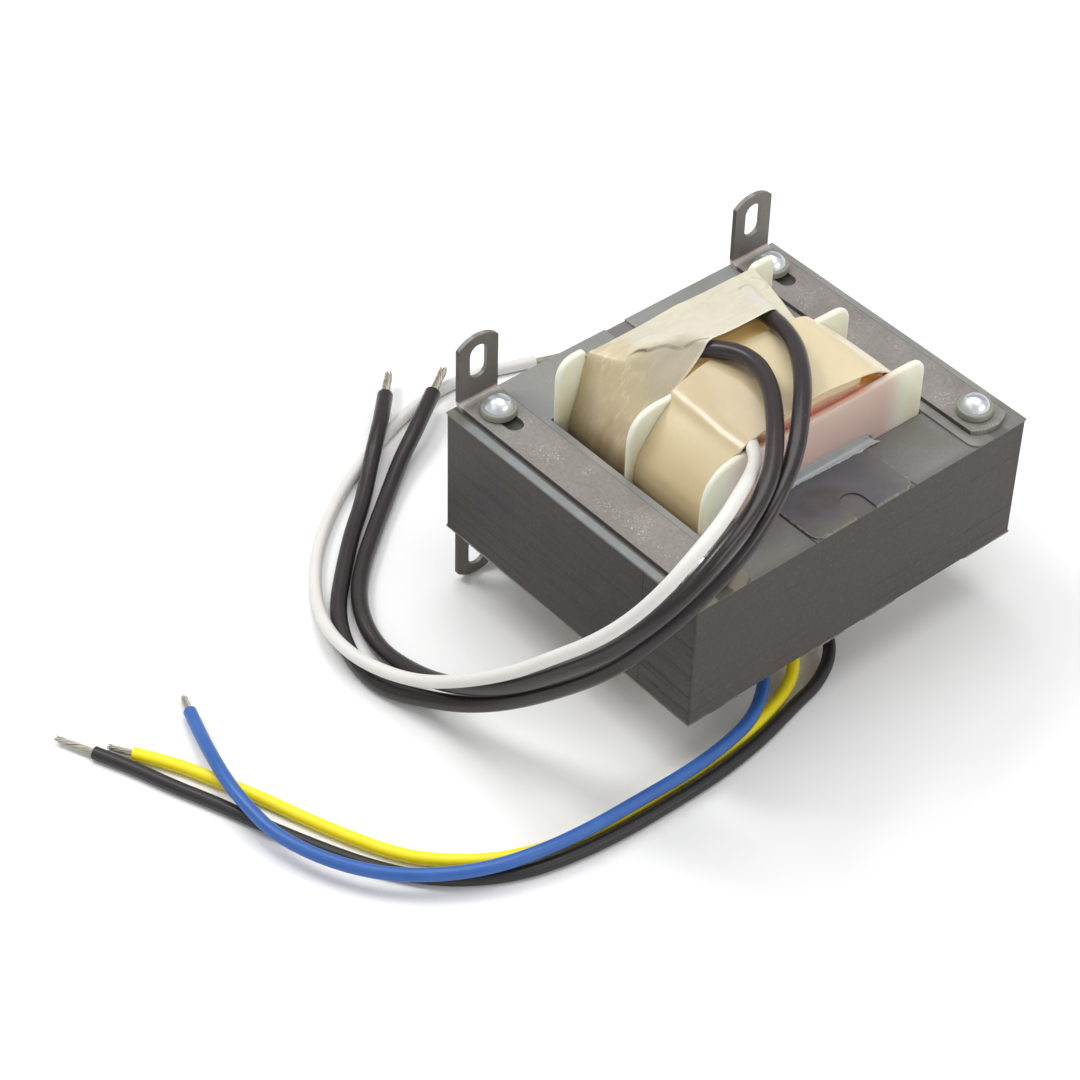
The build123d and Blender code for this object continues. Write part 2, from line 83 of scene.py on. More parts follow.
# %% Lights
def area_light(name, where, aim, size, power):
    """A soft box of this width and height at `where`, facing `aim`, all in metres."""
    data = bpy.data.lights.new(name, "AREA")
    data.shape = "RECTANGLE"
    data.size, data.size_y = size
    data.energy = power
    z = np.array(where, float) - np.array(aim, float)
    z /= np.linalg.norm(z)
    x = np.cross([0, 0, 1.0], z)
    x /= np.linalg.norm(x)
    y = np.cross(z, x)
    light = bpy.data.objects.new(name, data)
    light.matrix_world = Matrix([[*row, p] for row, p in zip(np.stack([x, y, z], 1), where)] + [[0, 0, 0, 1]])
    bpy.context.scene.collection.objects.link(light)


aim = (-0.02, 0.0, 0.04)
area_light("overhead", (0.10, 0.02, 1.0), aim, (0.9, 0.6), 5.2)
area_light("back", (-0.34, 0.68, 0.98), aim, (0.44, 0.32), 5.0)
area_light("back_right", (0.36, 0.70, 1.0), aim, (0.22, 0.22), 0.5)
area_light("left", (-0.95, 0.10, 0.75), aim, (0.7, 0.5), 1.1)
area_light("front", (0.25, -0.95, 0.55), aim, (0.8, 0.4), 3.0)
world = bpy.data.worlds.new("soft white room")
world.use_nodes = True
world.node_tree.nodes["Background"].inputs["Color"].default_value = (1.0, 1.0, 1.0, 1.0)
world.node_tree.nodes["Background"].inputs["Strength"].default_value = 0.5
bpy.context.scene.world = world
bpy.context.scene.view_settings.view_transform = "Standard"
print("lights:", [light.name for light in bpy.data.lights])

# %% [markdown]
# Every new piece is a grid of points or a stack of grids. Three helpers turn such arrays into objects: the first
# joins neighbours into four-sided faces and can close a grid on itself in either direction, the second makes the
# object, and the third does both for one grid. The next cell gives a smooth surface through a few measured points,
# and small made-up unevenness, so that a sheet needs no modelling by hand.

# %% Grids to meshes
def grid_faces(count, nu, nv, loop_u=False, loop_v=False, flip=False):
    """Four-sided faces of `count` grids of nu by nv points; each face joins i, i+1 and j, j+1."""
    k, i, j = np.meshgrid(np.arange(count), np.arange(nu - (not loop_u)), np.arange(nv - (not loop_v)), indexing="ij")
    i2, j2 = (i + 1) % nu, (j + 1) % nv
    corner = lambda a, b: k * nu * nv + a * nv + b
    quads = np.stack([corner(i, j), corner(i2, j), corner(i2, j2), corner(i, j2)], -1).reshape(-1, 4)
    return quads[:, ::-1] if flip else quads


def mesh_piece(name, points, faces):
    """Object with these vertices in millimetres and these faces, riding on the one body of the object."""
    mesh = bpy.data.meshes.new(name)
    mesh.from_pydata((points * MM).tolist(), [], faces)
    mesh.shade_smooth()
    piece = bpy.data.objects.new(name, mesh)
    bpy.context.scene.collection.objects.link(piece)
    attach(piece, "root")
    print(name, "vertices", len(mesh.vertices), "faces", len(mesh.polygons))
    return piece


def grid_piece(name, points, loop_u=False, flip=False):
    """Object whose vertex (i, j) is points[i, j] in millimetres."""
    faces = grid_faces(1, *points.shape[:2], loop_u=loop_u, flip=flip)
    return mesh_piece(name, points.reshape(-1, 3), faces.tolist())


# %% Smooth surfaces and unevenness
def through_weights(count, samples, loop=False):
    """Weights of a curve through `count` points at `samples` even steps: rows of Catmull-Rom weights."""
    t = np.arange(samples) * (count / samples) if loop else np.linspace(0, count - 1, samples)
    i = np.floor(t).astype(int) if loop else np.minimum(np.floor(t).astype(int), count - 2)
    f = t - i
    four = np.stack([-f + 2 * f ** 2 - f ** 3, 2 - 5 * f ** 2 + 3 * f ** 3,
                     f + 4 * f ** 2 - 3 * f ** 3, -f ** 2 + f ** 3], 1) / 2
    weights = np.zeros((samples, count))
    for step in range(4):
        at = (i + step - 1) % count if loop else np.clip(i + step - 1, 0, count - 1)
        np.add.at(weights, (np.arange(samples), at), four[:, step])
    return weights


def net_surface(net, nu, nv, loop_u=False):
    """Surface through a net of points: P(u, v) = sum of Wu(u, i) Wv(v, j) net[i, j]."""
    net = np.asarray(net, float)
    wu = through_weights(net.shape[0], nu, loop_u)
    wv = through_weights(net.shape[1], nv)
    return np.einsum("ui,vj,ijk->uvk", wu, wv, net)


def ripple(p, seed, size):
    """Smooth made-up unevenness between about -1 and 1 at points p: a sum of turned sine waves."""
    octaves, waves = 3, 5
    rng = np.random.default_rng(seed)
    total = np.zeros(p.shape[:-1])
    for octave in range(octaves):
        for _ in range(waves):
            way = rng.normal(size=3)
            way *= 2 * np.pi * 2 ** octave / size / np.linalg.norm(way)
            total += np.sin(p @ way + rng.uniform(0, 2 * np.pi)) / 2 ** octave
    return total / waves


# %% [markdown]
# Finishes are made of shader nodes. Wiring nodes by hand hides the sums behind them, so one small class wraps
# a socket: adding or multiplying two of them adds the Math node, and `node` adds any other kind.

# %% Shader sums
class Sock:
    """One socket in a material's tree. Sums on it add Math nodes; `node` adds any other node."""

    def __init__(self, tree, socket):
        self.tree, self.socket = tree, socket

    def node(self, kind, settings=None, sockets=None, out=0):
        """A new node: settings first, then the values or links of its sockets; gives one output."""
        made = self.tree.nodes.new(kind)
        for key, value in (settings or {}).items():
            setattr(made, key, value)
        for key, value in (sockets or {}).items():
            if isinstance(value, Sock):
                self.tree.links.new(value.socket, made.inputs[key])
            else:
                made.inputs[key].default_value = value
        return Sock(self.tree, made.outputs[out]) if made.outputs else None

    def sum(self, operation, *others):
        """Math node on this value and the others, in that order."""
        return self.node("ShaderNodeMath", {"operation": operation}, dict(enumerate((self, *others))))

    def __add__(self, other):
        return self.sum("ADD", other)

    def __sub__(self, other):
        return self.sum("SUBTRACT", other)

    def __rsub__(self, other):
        return self.node("ShaderNodeMath", {"operation": "SUBTRACT"}, {0: other, 1: self})

    def __mul__(self, other):
        return self.sum("MULTIPLY", other)

    def __truediv__(self, other):
        return self.sum("DIVIDE", other)

    def __pow__(self, other):
        return self.sum("POWER", other)

    def __abs__(self):
        return self.sum("ABSOLUTE")

    __radd__, __rmul__ = __add__, __mul__

    def smooth(self, low, high):
        """0 below low and 1 above high with an S curve between; the other way round if low > high."""
        return self.node("ShaderNodeMapRange", {"interpolation_type": "SMOOTHSTEP"},
                         {"Value": self, "From Min": low, "From Max": high})

    def noise(self, size, detail=3.0, rough=0.55, stretch=(1, 1, 1)):
        """Cloudy noise from 0 to 1 with blots about `size` millimetres across, on a millimetre position."""
        spot = self.node("ShaderNodeMapping", {}, {"Vector": self, "Scale": stretch})
        return self.node("ShaderNodeTexNoise", {}, {"Vector": spot, "Scale": 1.0 / size, "Detail": detail,
                                                    "Roughness": rough})

    def specks(self, size):
        """Distance to the nearest scattered point, in cells about `size` millimetres across."""
        return self.node("ShaderNodeTexVoronoi", {}, {"Vector": self, "Scale": 1.0 / size})

    def axes(self, letters):
        """These coordinates of a position, each as a Sock."""
        return [self.node("ShaderNodeSeparateXYZ", {}, {0: self}, "XYZ".index(letter)) for letter in letters]

    def mix(self, low, high):
        """Colour `low` where this value is 0 and `high` where it is 1."""
        return self.node("ShaderNodeMix", {"data_type": "RGBA"}, {0: self, 6: rgba(low), 7: rgba(high)}, 2)

    def bump(self, depth):
        """Normal of a relief of this height, `depth` millimetres deep."""
        return self.node("ShaderNodeBump", {}, {"Height": self, "Distance": depth * MM, "Strength": 1.0})


# %% Starting and closing a finish
def rgba(colour):
    """A linear colour with the fourth number that a socket wants; a Sock stays as it is."""
    return colour if isinstance(colour, Sock) else (*colour, 1.0)


def srgb(r, g, b):
    """Linear colour of a screen colour given in 0 to 255."""
    c = np.array([r, g, b]) / 255
    return tuple(float(v) for v in np.where(c <= 0.04045, c / 12.92, ((c + 0.055) / 1.055) ** 2.4))


def start_finish(name):
    """A new material with no nodes but a position, and that position in millimetres as a Sock."""
    material = bpy.data.materials.new(name)
    material.use_nodes = True
    material.node_tree.nodes.clear()
    tree = material.node_tree
    where = Sock(tree, tree.nodes.new("ShaderNodeTexCoord").outputs["Object"])
    return material, where.node("ShaderNodeVectorMath", {"operation": "SCALE"}, {0: where, "Scale": 1000.0})


def close_finish(material, where, **sockets):
    """End a finish in a Principled surface; names use _ for a space."""
    values = {key.replace("_", " "): value for key, value in sockets.items()}
    surface = where.node("ShaderNodeBsdfPrincipled", {}, values)
    where.node("ShaderNodeOutputMaterial", {}, {"Surface": surface})
    return material


def dress(names, material):
    """Give solid-model nodes, or new pieces, one finish."""
    for name in names:
        piece = nodes[name] if name in nodes else bpy.data.objects[name]
        piece.data.materials.clear()
        piece.data.materials.append(material)
    print(material.name, "on", ", ".join(names))


# %% [markdown]
# The part lies on a white sweep with no edge in sight. One flat sheet some metres wide does that; it is matt, with
# a cloudiness too faint to see, so that the light and the soft shadows alone shape it.

# %% Floor
def floor_finish():
    material, where = start_finish("white sweep")
    grain = where.noise(60.0)
    return close_finish(material, where, Base_Color=grain.mix((0.86, 0.86, 0.86), (0.90, 0.90, 0.90)), Roughness=0.9)


half_floor = 3000
span = np.linspace(-half_floor, half_floor, 13)
floor = grid_piece("floor", np.stack(np.meshgrid(span, span, [0.0], indexing="ij"), -1)[:, :, 0])
dress(["floor"], floor_finish())

# %% [markdown]
# Six leads leave the coil: a white one and two heavy black ones over the top, and a blue, a yellow and a black one
# through the foot of the front flange. A lead is a round section carried along a smooth line. The line is a NURBS
# curve on the same listed points that the solid lead was swept along, because it bends as wire does and still stays on
# the floor and clear of the core.

# %% Lead routes in millimetres
routes = {
    "heavy_right": (4.6, 340.6, [
        (15, 11, 81.2), (12.4, 3.7, 84.4), (10, -4, 86.5), (5.5, -13.5, 88.5), (-3, -24.5, 90.5),
        (-12.5, -34, 90.5), (-22.5, -42.5, 87), (-33.5, -48, 83.5), (-43, -50.5, 77.5), (-52.5, -51, 72),
        (-61.5, -49.5, 65.5), (-69, -45, 55.5), (-74.5, -36, 42), (-79, -23, 28.5), (-83.5, -9.5, 16.5),
        (-88, 2.5, 9), (-92, 14.5, 4.5), (-96, 25, 2.3), (-96.5, 35, 2.3), (-93.5, 45.5, 2.3),
        (-87.5, 56, 2.3), (-79, 65, 2.3), (-66.5, 77, 2.3), (-56, 85.5, 2.3), (-46.5, 94.5, 4),
        (-39.5, 100.5, 6.5), (-32, 107.5, 6.5), (-25.5, 114.5, 5.5)]),
    "heavy_left": (4.6, 335.2, [
        (-18, 13.5, 81.5), (-12.5, 9, 82.75), (-9, 2.5, 85.25), (-6.5, -4.5, 87.5), (-6.5, -12, 88.5),
        (-10, -20, 89), (-15.5, -27.5, 89.5), (-23.5, -36.5, 90), (-32, -44.5, 88.5), (-42, -49.5, 85.5),
        (-53, -52, 82.5), (-63, -52.5, 76.5), (-71.5, -48.5, 66.5), (-77.5, -39, 52.5), (-81, -27, 39.5),
        (-84, -14.5, 27), (-87, -2, 18), (-88.5, 11, 10.5), (-88.5, 24.5, 5), (-88, 37, 2.3),
        (-85, 48, 2.3), (-79, 58, 2.3), (-70.5, 66.5, 2.3), (-60, 75, 2.3), (-49, 83.5, 2.3),
        (-38, 91.5, 4), (-29, 96.5, 6), (-21.5, 101.5, 6.5), (-15, 106, 6.5)]),
    "white": (3.5, 351.9, [
        (-17.5, -20.5, 79.1), (-22.5, -28.5, 80.2), (-27, -34, 82.5), (-34.5, -40, 86.5), (-42, -45.5, 91),
        (-55, -52, 91.5), (-66.5, -54, 87.5), (-74, -53, 81), (-79, -47.5, 70.5), (-82, -38.5, 58.5),
        (-84, -27, 46), (-86.5, -14.5, 32.5), (-90, -1, 21.5), (-93.5, 11.5, 13.5), (-96, 23.5, 9),
        (-98, 35, 7.5), (-96.5, 47.5, 5.5), (-91, 60, 2.5), (-84.5, 70, 1.75), (-76.5, 79, 1.75),
        (-65.5, 88, 1.75), (-52, 96.5, 1.75), (-38, 102.5, 1.75), (-22.5, 108.5, 1.75), (-8.5, 110.5, 1.75),
        (3, 109.5, 1.75), (12.5, 106, 1.75), (20.5, 103, 1.75)]),
    "blue": (3.5, 219.2, [
        (-14, -27.5, 6), (-17, -33.5, 6), (-22.5, -39.5, 6), (-32, -45.5, 6), (-44, -48, 6),
        (-57.5, -49, 6), (-73, -48.5, 6), (-89, -48, 6), (-103.5, -46, 6), (-116, -42.5, 6),
        (-127, -36.5, 6), (-136.5, -28.5, 6), (-143, -19.5, 6), (-147.5, -9.5, 6), (-150, 0.5, 6),
        (-150, 10.5, 6.5), (-149, 20, 6.5), (-146, 31, 5), (-142.5, 41.5, 3), (-139.5, 50, 2)]),
    "yellow": (3.5, 215.8, [
        (-3.5, -27.5, 5.8), (-6, -33.5, 4.5), (-11.5, -39, 3), (-20, -42.5, 1.75), (-33, -45.5, 1.75),
        (-49.5, -47, 1.75), (-66.5, -47, 1.75), (-82.5, -46.5, 1.75), (-96.5, -44, 1.75), (-109, -39.5, 1.75),
        (-119, -32.5, 1.75), (-127.5, -23.5, 1.75), (-133.5, -11.5, 1.75), (-138.5, 1, 1.75),
        (-143.5, 15.5, 1.75), (-148.5, 27, 1.75), (-153, 37.5, 1.75), (-159, 47, 1.75)]),
    "black": (3.5, 244.6, [
        (8.5, -27.5, 5.8), (6, -34, 4.5), (1, -40, 3), (-7.5, -44, 1.75), (-16, -45.5, 1.75),
        (-32, -49.5, 1.75), (-49, -51.5, 1.75), (-66, -51.5, 1.75), (-82, -51, 1.75), (-97, -49, 1.75),
        (-109.5, -45.5, 1.75), (-120.5, -39, 1.75), (-129, -31, 1.75), (-136, -20.5, 1.75), (-142, -8, 1.75),
        (-148, 6.5, 1.75), (-153, 20.5, 1.75), (-158, 32, 1.75), (-162, 43.5, 1.75), (-166.5, 53.5, 1.75)]),
}
print("leads:", {name: round(length / 1000, 3) for name, (_, length, _) in routes.items()})

# %% [markdown]
# The insulation is soft vinyl: an even colour, and a satin skin that is finely uneven and faintly dusty. One flat
# colour would do from afar, but close to it looks like paint. Dust is cloudy noise that lightens the colour and
# roughens the skin a little.

# %% Insulation finish
def insulation_finish(name, deep, light, rough):
    material, where = start_finish(name)
    cloud = where.noise(9.0, 4.0)
    dust = where.noise(0.9, 4.0, 0.7).smooth(0.58, 0.8) * cloud.smooth(0.4, 0.7)
    skin = where.noise(0.35, 2.0)
    return close_finish(material, where, Base_Color=(dust * 0.25).mix(cloud.mix(deep, light), (0.5, 0.49, 0.47)),
                        Roughness=rough + 0.12 * cloud + 0.2 * dust, Specular_IOR_Level=0.45,
                        Normal=(skin + 0.6 * cloud).bump(0.02))


insulation = {
    "white": insulation_finish("white vinyl", srgb(214, 212, 207), srgb(226, 224, 220), 0.36),
    "blue": insulation_finish("blue vinyl", srgb(36, 84, 158), srgb(58, 106, 178), 0.32),
    "yellow": insulation_finish("yellow vinyl", srgb(246, 222, 8), srgb(255, 238, 40), 0.34),
    "black": insulation_finish("black vinyl", srgb(30, 28, 28), srgb(44, 40, 40), 0.36),
}
insulation["heavy_left"] = insulation_finish("heavy black vinyl", srgb(38, 32, 33), srgb(50, 43, 44), 0.24)
insulation["heavy_right"] = insulation["heavy_left"]
print("insulation:", {name: material.name for name, material in insulation.items()})

# %% [markdown]
# Each lead ends in bare tinned strands. A bundle is nineteen fine wires in rings of one, six and twelve, all
# twisted the same way and a little frayed at the tip. One wire is a circle carried along a helix:
# centre(s) = start + s t + r(s) (cos(a + 2 pi s / pitch) n1 + sin(a + 2 pi s / pitch) n2).

# %% Bare strand ends
def strand_bundle(name, start, heading, length, width, seed):
    """Nineteen helical wires round the axis from `start` along `heading`, fraying towards the tip."""
    rings = [1, 6, 12]
    wires, steps, sides = sum(rings), 24, 8
    pitch, buried, swell, end_size, floor_gap = 13.0, 0.12, 1.04, 0.7, 0.05
    rng = np.random.default_rng(seed)
    t = np.array(heading, float) / np.linalg.norm(heading)
    n1 = np.cross(t, [0, 0, 1.0])
    n1 /= np.linalg.norm(n1)
    n2 = np.cross(n1, t)
    ring = np.repeat([0, 1, 2], rings)
    wire = width / 5.0
    first = np.concatenate([[0.0], np.arange(6) * np.pi / 3, np.arange(12) * np.pi / 6 + 0.2])
    s = np.linspace(-buried, 1.0, steps)[None, :] * (length + rng.uniform(-1.2, 0.6, wires))[:, None]
    share = np.clip(s / length, 0, 1)
    fray = 1 + rng.uniform(-0.25, 0.12, wires)[:, None] * share ** 2
    angle = first[:, None] + 2 * np.pi * s / pitch + rng.normal(0, 0.12, wires)[:, None] * share
    radius = ring[:, None] * wire * fray
    drift = rng.normal(0, 0.08, (wires, 2))[:, None, :] * share[..., None] ** 2
    centre = np.array(start) + s[..., None] * t
    centre = centre + (radius * np.cos(angle) + drift[..., 0])[..., None] * n1
    centre = centre + (radius * np.sin(angle) + drift[..., 1])[..., None] * n2
    turn = np.linspace(0, 2 * np.pi, sides, endpoint=False)
    circle = np.cos(turn)[:, None] * n1 + np.sin(turn)[:, None] * n2
    close = np.ones(steps)
    close[[0, -1]] = end_size
    points = centre[:, :, None, :] + 0.5 * wire * swell * close[None, :, None, None] * circle
    points[..., 2] += np.maximum(floor_gap - points[..., 2].min(2, keepdims=True), 0)
    number = np.arange(wires * steps * sides).reshape(wires, steps, sides)
    caps = np.concatenate([number[:, 0], number[:, -1, ::-1]])
    faces = grid_faces(wires, steps, sides, loop_v=True).tolist() + caps.tolist()
    return mesh_piece(name, points.reshape(-1, 3), faces)


def tinned_finish():
    material, where = start_finish("tinned strands")
    dull = where.noise(2.2, 4.0)
    tone = dull.mix(srgb(150, 142, 126), srgb(206, 202, 192))
    return close_finish(material, where, Base_Color=tone, Metallic=0.85, Roughness=0.3 + 0.25 * dull,
                        Normal=where.noise(0.25).bump(0.03))


tinned = tinned_finish()
bare = {"heavy_right": (11.0, 2.4), "heavy_left": (11.0, 2.4), "white": (9.0, 1.8), "blue": (6.0, 1.8),
        "yellow": (6.5, 1.8), "black": (11.0, 1.8)}

# %% [markdown]
# Now the leads themselves. A mesh tube would do, but a curve with a round bevel keeps the line and the thickness
# apart, so either can be changed alone. Every lead takes its insulation and its bare end along the last stretch of its
# route.

# %% Leads
def lead_curve(name, points, width):
    """One open NURBS spline of order 3 on the route's points: a unit circle scaled by each point's radius."""
    data = bpy.data.curves.new(name, "CURVE")
    data.dimensions = "3D"
    data.bevel_depth = 1.0
    data.bevel_resolution = 7
    data.resolution_u = 10
    data.use_fill_caps = True
    spline = data.splines.new("NURBS")
    spline.points.add(len(points) - 1)
    rows = np.column_stack([np.array(points) * MM, np.ones(len(points))])
    spline.points.foreach_set("co", rows.ravel())
    spline.points.foreach_set("radius", np.full(len(points), width / 2 * MM))
    spline.order_u = 3
    spline.use_endpoint_u = True
    piece = bpy.data.objects.new(name, data)
    bpy.context.scene.collection.objects.link(piece)
    print(name, "points", len(points), "width", width)
    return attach(piece, "root")


for seed, (name, (width, length, points)) in enumerate(routes.items()):
    lead = lead_curve("wire_" + name, points, width)
    lead.data.materials.append(insulation[name])
    reach, bundle = bare[name]
    heading = np.subtract(points[-1], points[-2])
    tip = strand_bundle("strands_" + name, points[-1], heading, reach, bundle, seed)
    dress([tip.name], tinned)
    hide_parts("lead_" + name)
    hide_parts("tip_" + name)

# %% [markdown]
# The core is a stack of thin steel sheets dipped in varnish. Its sheets show as fine level lines on the sides,
# some darker than others, and a joint line stands where the E sheets meet the I sheets. The lines follow the
# height alone, so they come from the position's Z and need no drawing.

# %% Core steel
def core_finish():
    material, where = start_finish("varnished core steel")
    x, y, z = where.axes("XYZ")
    half_stack, sheet_thick, joint_y = 19.05, 0.635, -28.575
    sheet = (z - (MID - half_stack)) / sheet_thick
    index = sheet.sum("FLOOR")
    inside = sheet - index
    chance = index.node("ShaderNodeTexWhiteNoise", {"noise_dimensions": "1D"}, {"W": index})
    along = where.noise(40.0, 3.0, 0.5, (1, 1, 0.03))
    edge = inside.smooth(0.18, 0.0) + inside.smooth(0.9, 1.0)
    ends = y.smooth(-28.4, -29.4) * x.smooth(-56.9, -57.1)
    heavy = chance.smooth(0.84, 0.94) * along.smooth(0.42, 0.56)
    line = edge * (0.25 + 0.6 * ends * where.noise(3.0, 3.0, 0.6, (1, 1, 0.2)).smooth(0.35, 0.6))
    stroke = where.noise(1.5, 3.0, 0.7, (0.03, 0.03, 1.0))
    joint = abs(y - joint_y).smooth(0.34, 0.12) * along.smooth(0.25, 0.45)
    cloud = where.noise(22.0, 4.0)
    cool = where.noise(34.0, 2.0).smooth(0.5, 0.68)
    tone = cloud.mix(srgb(60, 54, 51), srgb(82, 76, 72))
    tone = (cool * 0.55).mix(tone, srgb(60, 61, 66))
    tone = (y.smooth(-47.4, -47.6) * 0.55).mix(tone, cloud.mix(srgb(68, 63, 59), srgb(80, 74, 69)))
    sides = x.smooth(-56.9, -57.1) * (0.35 + 0.65 * ends)
    tone = (stroke.smooth(0.52, 0.64) * sides * 0.7).mix(tone, srgb(38, 34, 32))
    tone = (stroke.smooth(0.42, 0.3) * sides * 0.35).mix(tone, srgb(104, 97, 92))
    tone = (heavy * inside.smooth(0.7, 0.2) * 0.75).mix(tone, srgb(36, 32, 31))
    mark = line * 0.55 + joint * 0.85
    tone = mark.sum("MINIMUM", 1.0).mix(tone, srgb(28, 25, 24))
    dusty = where.noise(1.1, 4.0, 0.65)
    tone = (dusty.smooth(0.5, 0.75) * 0.25).mix(tone, srgb(112, 105, 99))
    fleck = where.specks(3.5).smooth(0.06, 0.02) * cloud.smooth(0.5, 0.6)
    tone = (fleck * 0.35).mix(tone, srgb(150, 146, 140))
    top = z.smooth(59.5, 59.66)
    patchy = cloud * 0.6 + dusty * 0.4
    roof = patchy.mix(srgb(92, 89, 89), srgb(138, 135, 133))
    roof = (x.smooth(16.0, 30.0) * 0.5).mix(roof, patchy.mix(srgb(112, 110, 108), srgb(150, 147, 144)))
    roof = (where.noise(14.0, 4.0).smooth(0.52, 0.7) * 0.5).mix(roof, srgb(120, 118, 104))
    roof = (y.smooth(-45.0, -47.5) * 0.45).mix(roof, srgb(96, 92, 84))
    # A dark line beside the end sheet's middle leg: the gap there, and partly a painted shadow of the sheet's edge.
    seam_and_shadow = abs(abs(x) - 17.2).smooth(0.3, 0.1) * y.smooth(-28.6, -29.2)
    hole = abs(x).smooth(3.7, 3.3) * y.smooth(-38.0, -39.4)
    roof = (hole * 0.55).mix(roof, srgb(92, 84, 82))
    roof = (seam_and_shadow * 0.85).mix(roof, srgb(30, 28, 28))
    tone = top.mix(tone, roof)
    relief = chance * 0.2 + where.noise(0.6) * 0.3 - edge * (0.2 + 0.5 * ends) - joint * 0.8
    return close_finish(material, where, Base_Color=tone, Metallic=0.2, Roughness=0.46 + 0.16 * cloud,
                        Specular_IOR_Level=0.35, Normal=relief.bump(0.05))


dress(["e_stack", "i_stack"], core_finish())

# %% [markdown]
# The outermost sheet on each face is blued by heat: grey with bluish and olive blots, and darker on its middle leg.
# Light is painted on it too: a mottled painted highlight along its long left edge, where it is not under a bracket, a
# thin one along the middle leg's edge, and painted shade beside the left bracket's outer side and inside the bracket
# slots. A painted picture could carry these marks, but sums on the position need no picture and no unwrapping, and
# each mark can be moved by one number.

# %% Blued end sheet
BRACKET_X = 47.625  # middle of a bracket, its slots and its screws, from the core's middle


def end_sheet_finish():
    material, where = start_finish("blued end sheet")
    x, y = where.axes("XY")
    cloud = where.noise(14.0, 5.0)
    fine = where.noise(1.4, 4.0, 0.65)
    tone = (cloud * 0.6 + fine * 0.4).mix(srgb(116, 115, 111), srgb(164, 163, 158))
    blue = where.noise(22.0, 3.0).smooth(0.46, 0.64)
    tone = (blue * 0.5).mix(tone, srgb(128, 136, 140))
    olive = where.noise(11.0, 3.0).smooth(0.56, 0.7)
    tone = (olive * 0.45).mix(tone, srgb(132, 128, 106))
    leg = abs(x).smooth(19.6, 18.8) * y.smooth(-28.0, -29.0)
    blot = where.noise(7.0, 4.0)
    steel = blot.mix(srgb(86, 87, 94), srgb(104, 104, 108))
    front = y.smooth(-40.0, -46.5)
    steel = (front * blot.smooth(0.35, 0.6)).mix(steel, srgb(108, 104, 92))
    tone = leg.mix(tone, steel)
    smudge = (((x + 6.5) / 8.0) ** 2.0 + ((y + 37.5) / 5.0) ** 2.0).smooth(1.4, 0.1)
    tone = (smudge * leg * blot.smooth(0.3, 0.6) * 0.8).mix(tone, srgb(84, 76, 70))
    right = x.smooth(8.0, 18.0) * leg
    tone = (right * 0.4).mix(tone, srgb(126, 124, 116))
    # Painted highlight: a thin lighter line along the middle leg's edge, broken up by fine noise.
    beside = (abs(x) - 14.05).sum("MAXIMUM", 0.0)
    ahead = (-44.6 - y).sum("MAXIMUM", 0.0)
    wear_and_highlight = (beside ** 2.0 + ahead ** 2.0).sum("SQRT").smooth(2.35, 2.85)
    tone = (wear_and_highlight * leg * fine.smooth(0.4, 0.62) * 0.5).mix(tone, srgb(160, 160, 156))
    corner = x.smooth(-50.0, -56.0) * y.smooth(38.0, 43.0)
    tone = (corner * 0.7).mix(tone, srgb(98, 94, 78))
    shade = x.smooth(-53.8, -54.2) * x.smooth(-55.3, -54.7)
    tone = (shade * 0.75).mix(tone, srgb(70, 67, 66))
    # Painted highlight: a mottled bright band along the long left edge, where no bracket lies.
    left_edge_highlight = x.smooth(-54.7, -55.3) * y.smooth(40.0, 37.5) * y.smooth(-33.5, -31.0)
    patchy = where.noise(4.0, 5.0, 0.65, (1, 0.5, 1))
    glint = patchy.mix(srgb(96, 100, 102), srgb(158, 162, 162))
    tone = (left_edge_highlight * (0.35 + 0.65 * patchy.smooth(0.3, 0.55))).mix(tone, glint)
    brass = x.smooth(-36.0, -40.0) * y.smooth(-32.0, -36.0)
    tone = (brass * 0.75).mix(tone, patchy.mix(srgb(96, 90, 74), srgb(122, 114, 94)))
    # Painted shade on the sheet inside the bracket slots.
    slot_shade = abs(abs(x) - BRACKET_X).smooth(3.0, 2.2) * abs(y).smooth(28.4, 30.4)
    tone = (slot_shade * 0.75).mix(tone, srgb(52, 46, 42))
    stained = x.smooth(38.0, 42.0) * y.smooth(-34.0, -40.0)
    tone = (stained * 0.65).mix(tone, patchy.mix(srgb(92, 89, 84), srgb(122, 118, 112)))
    chalk = where.noise(0.5, 3.0, 0.7).smooth(0.6, 0.72) * where.noise(6.0, 3.0).smooth(0.56, 0.68)
    tone = (chalk * (1.0 - leg) * 0.6).mix(tone, srgb(206, 206, 200))
    return close_finish(material, where, Base_Color=tone, Metallic=0.35, Roughness=0.4 + 0.2 * fine,
                        Normal=(fine + 0.5 * cloud).bump(0.025))


dress(["end_lamination_top", "end_lamination_bottom"], end_sheet_finish())
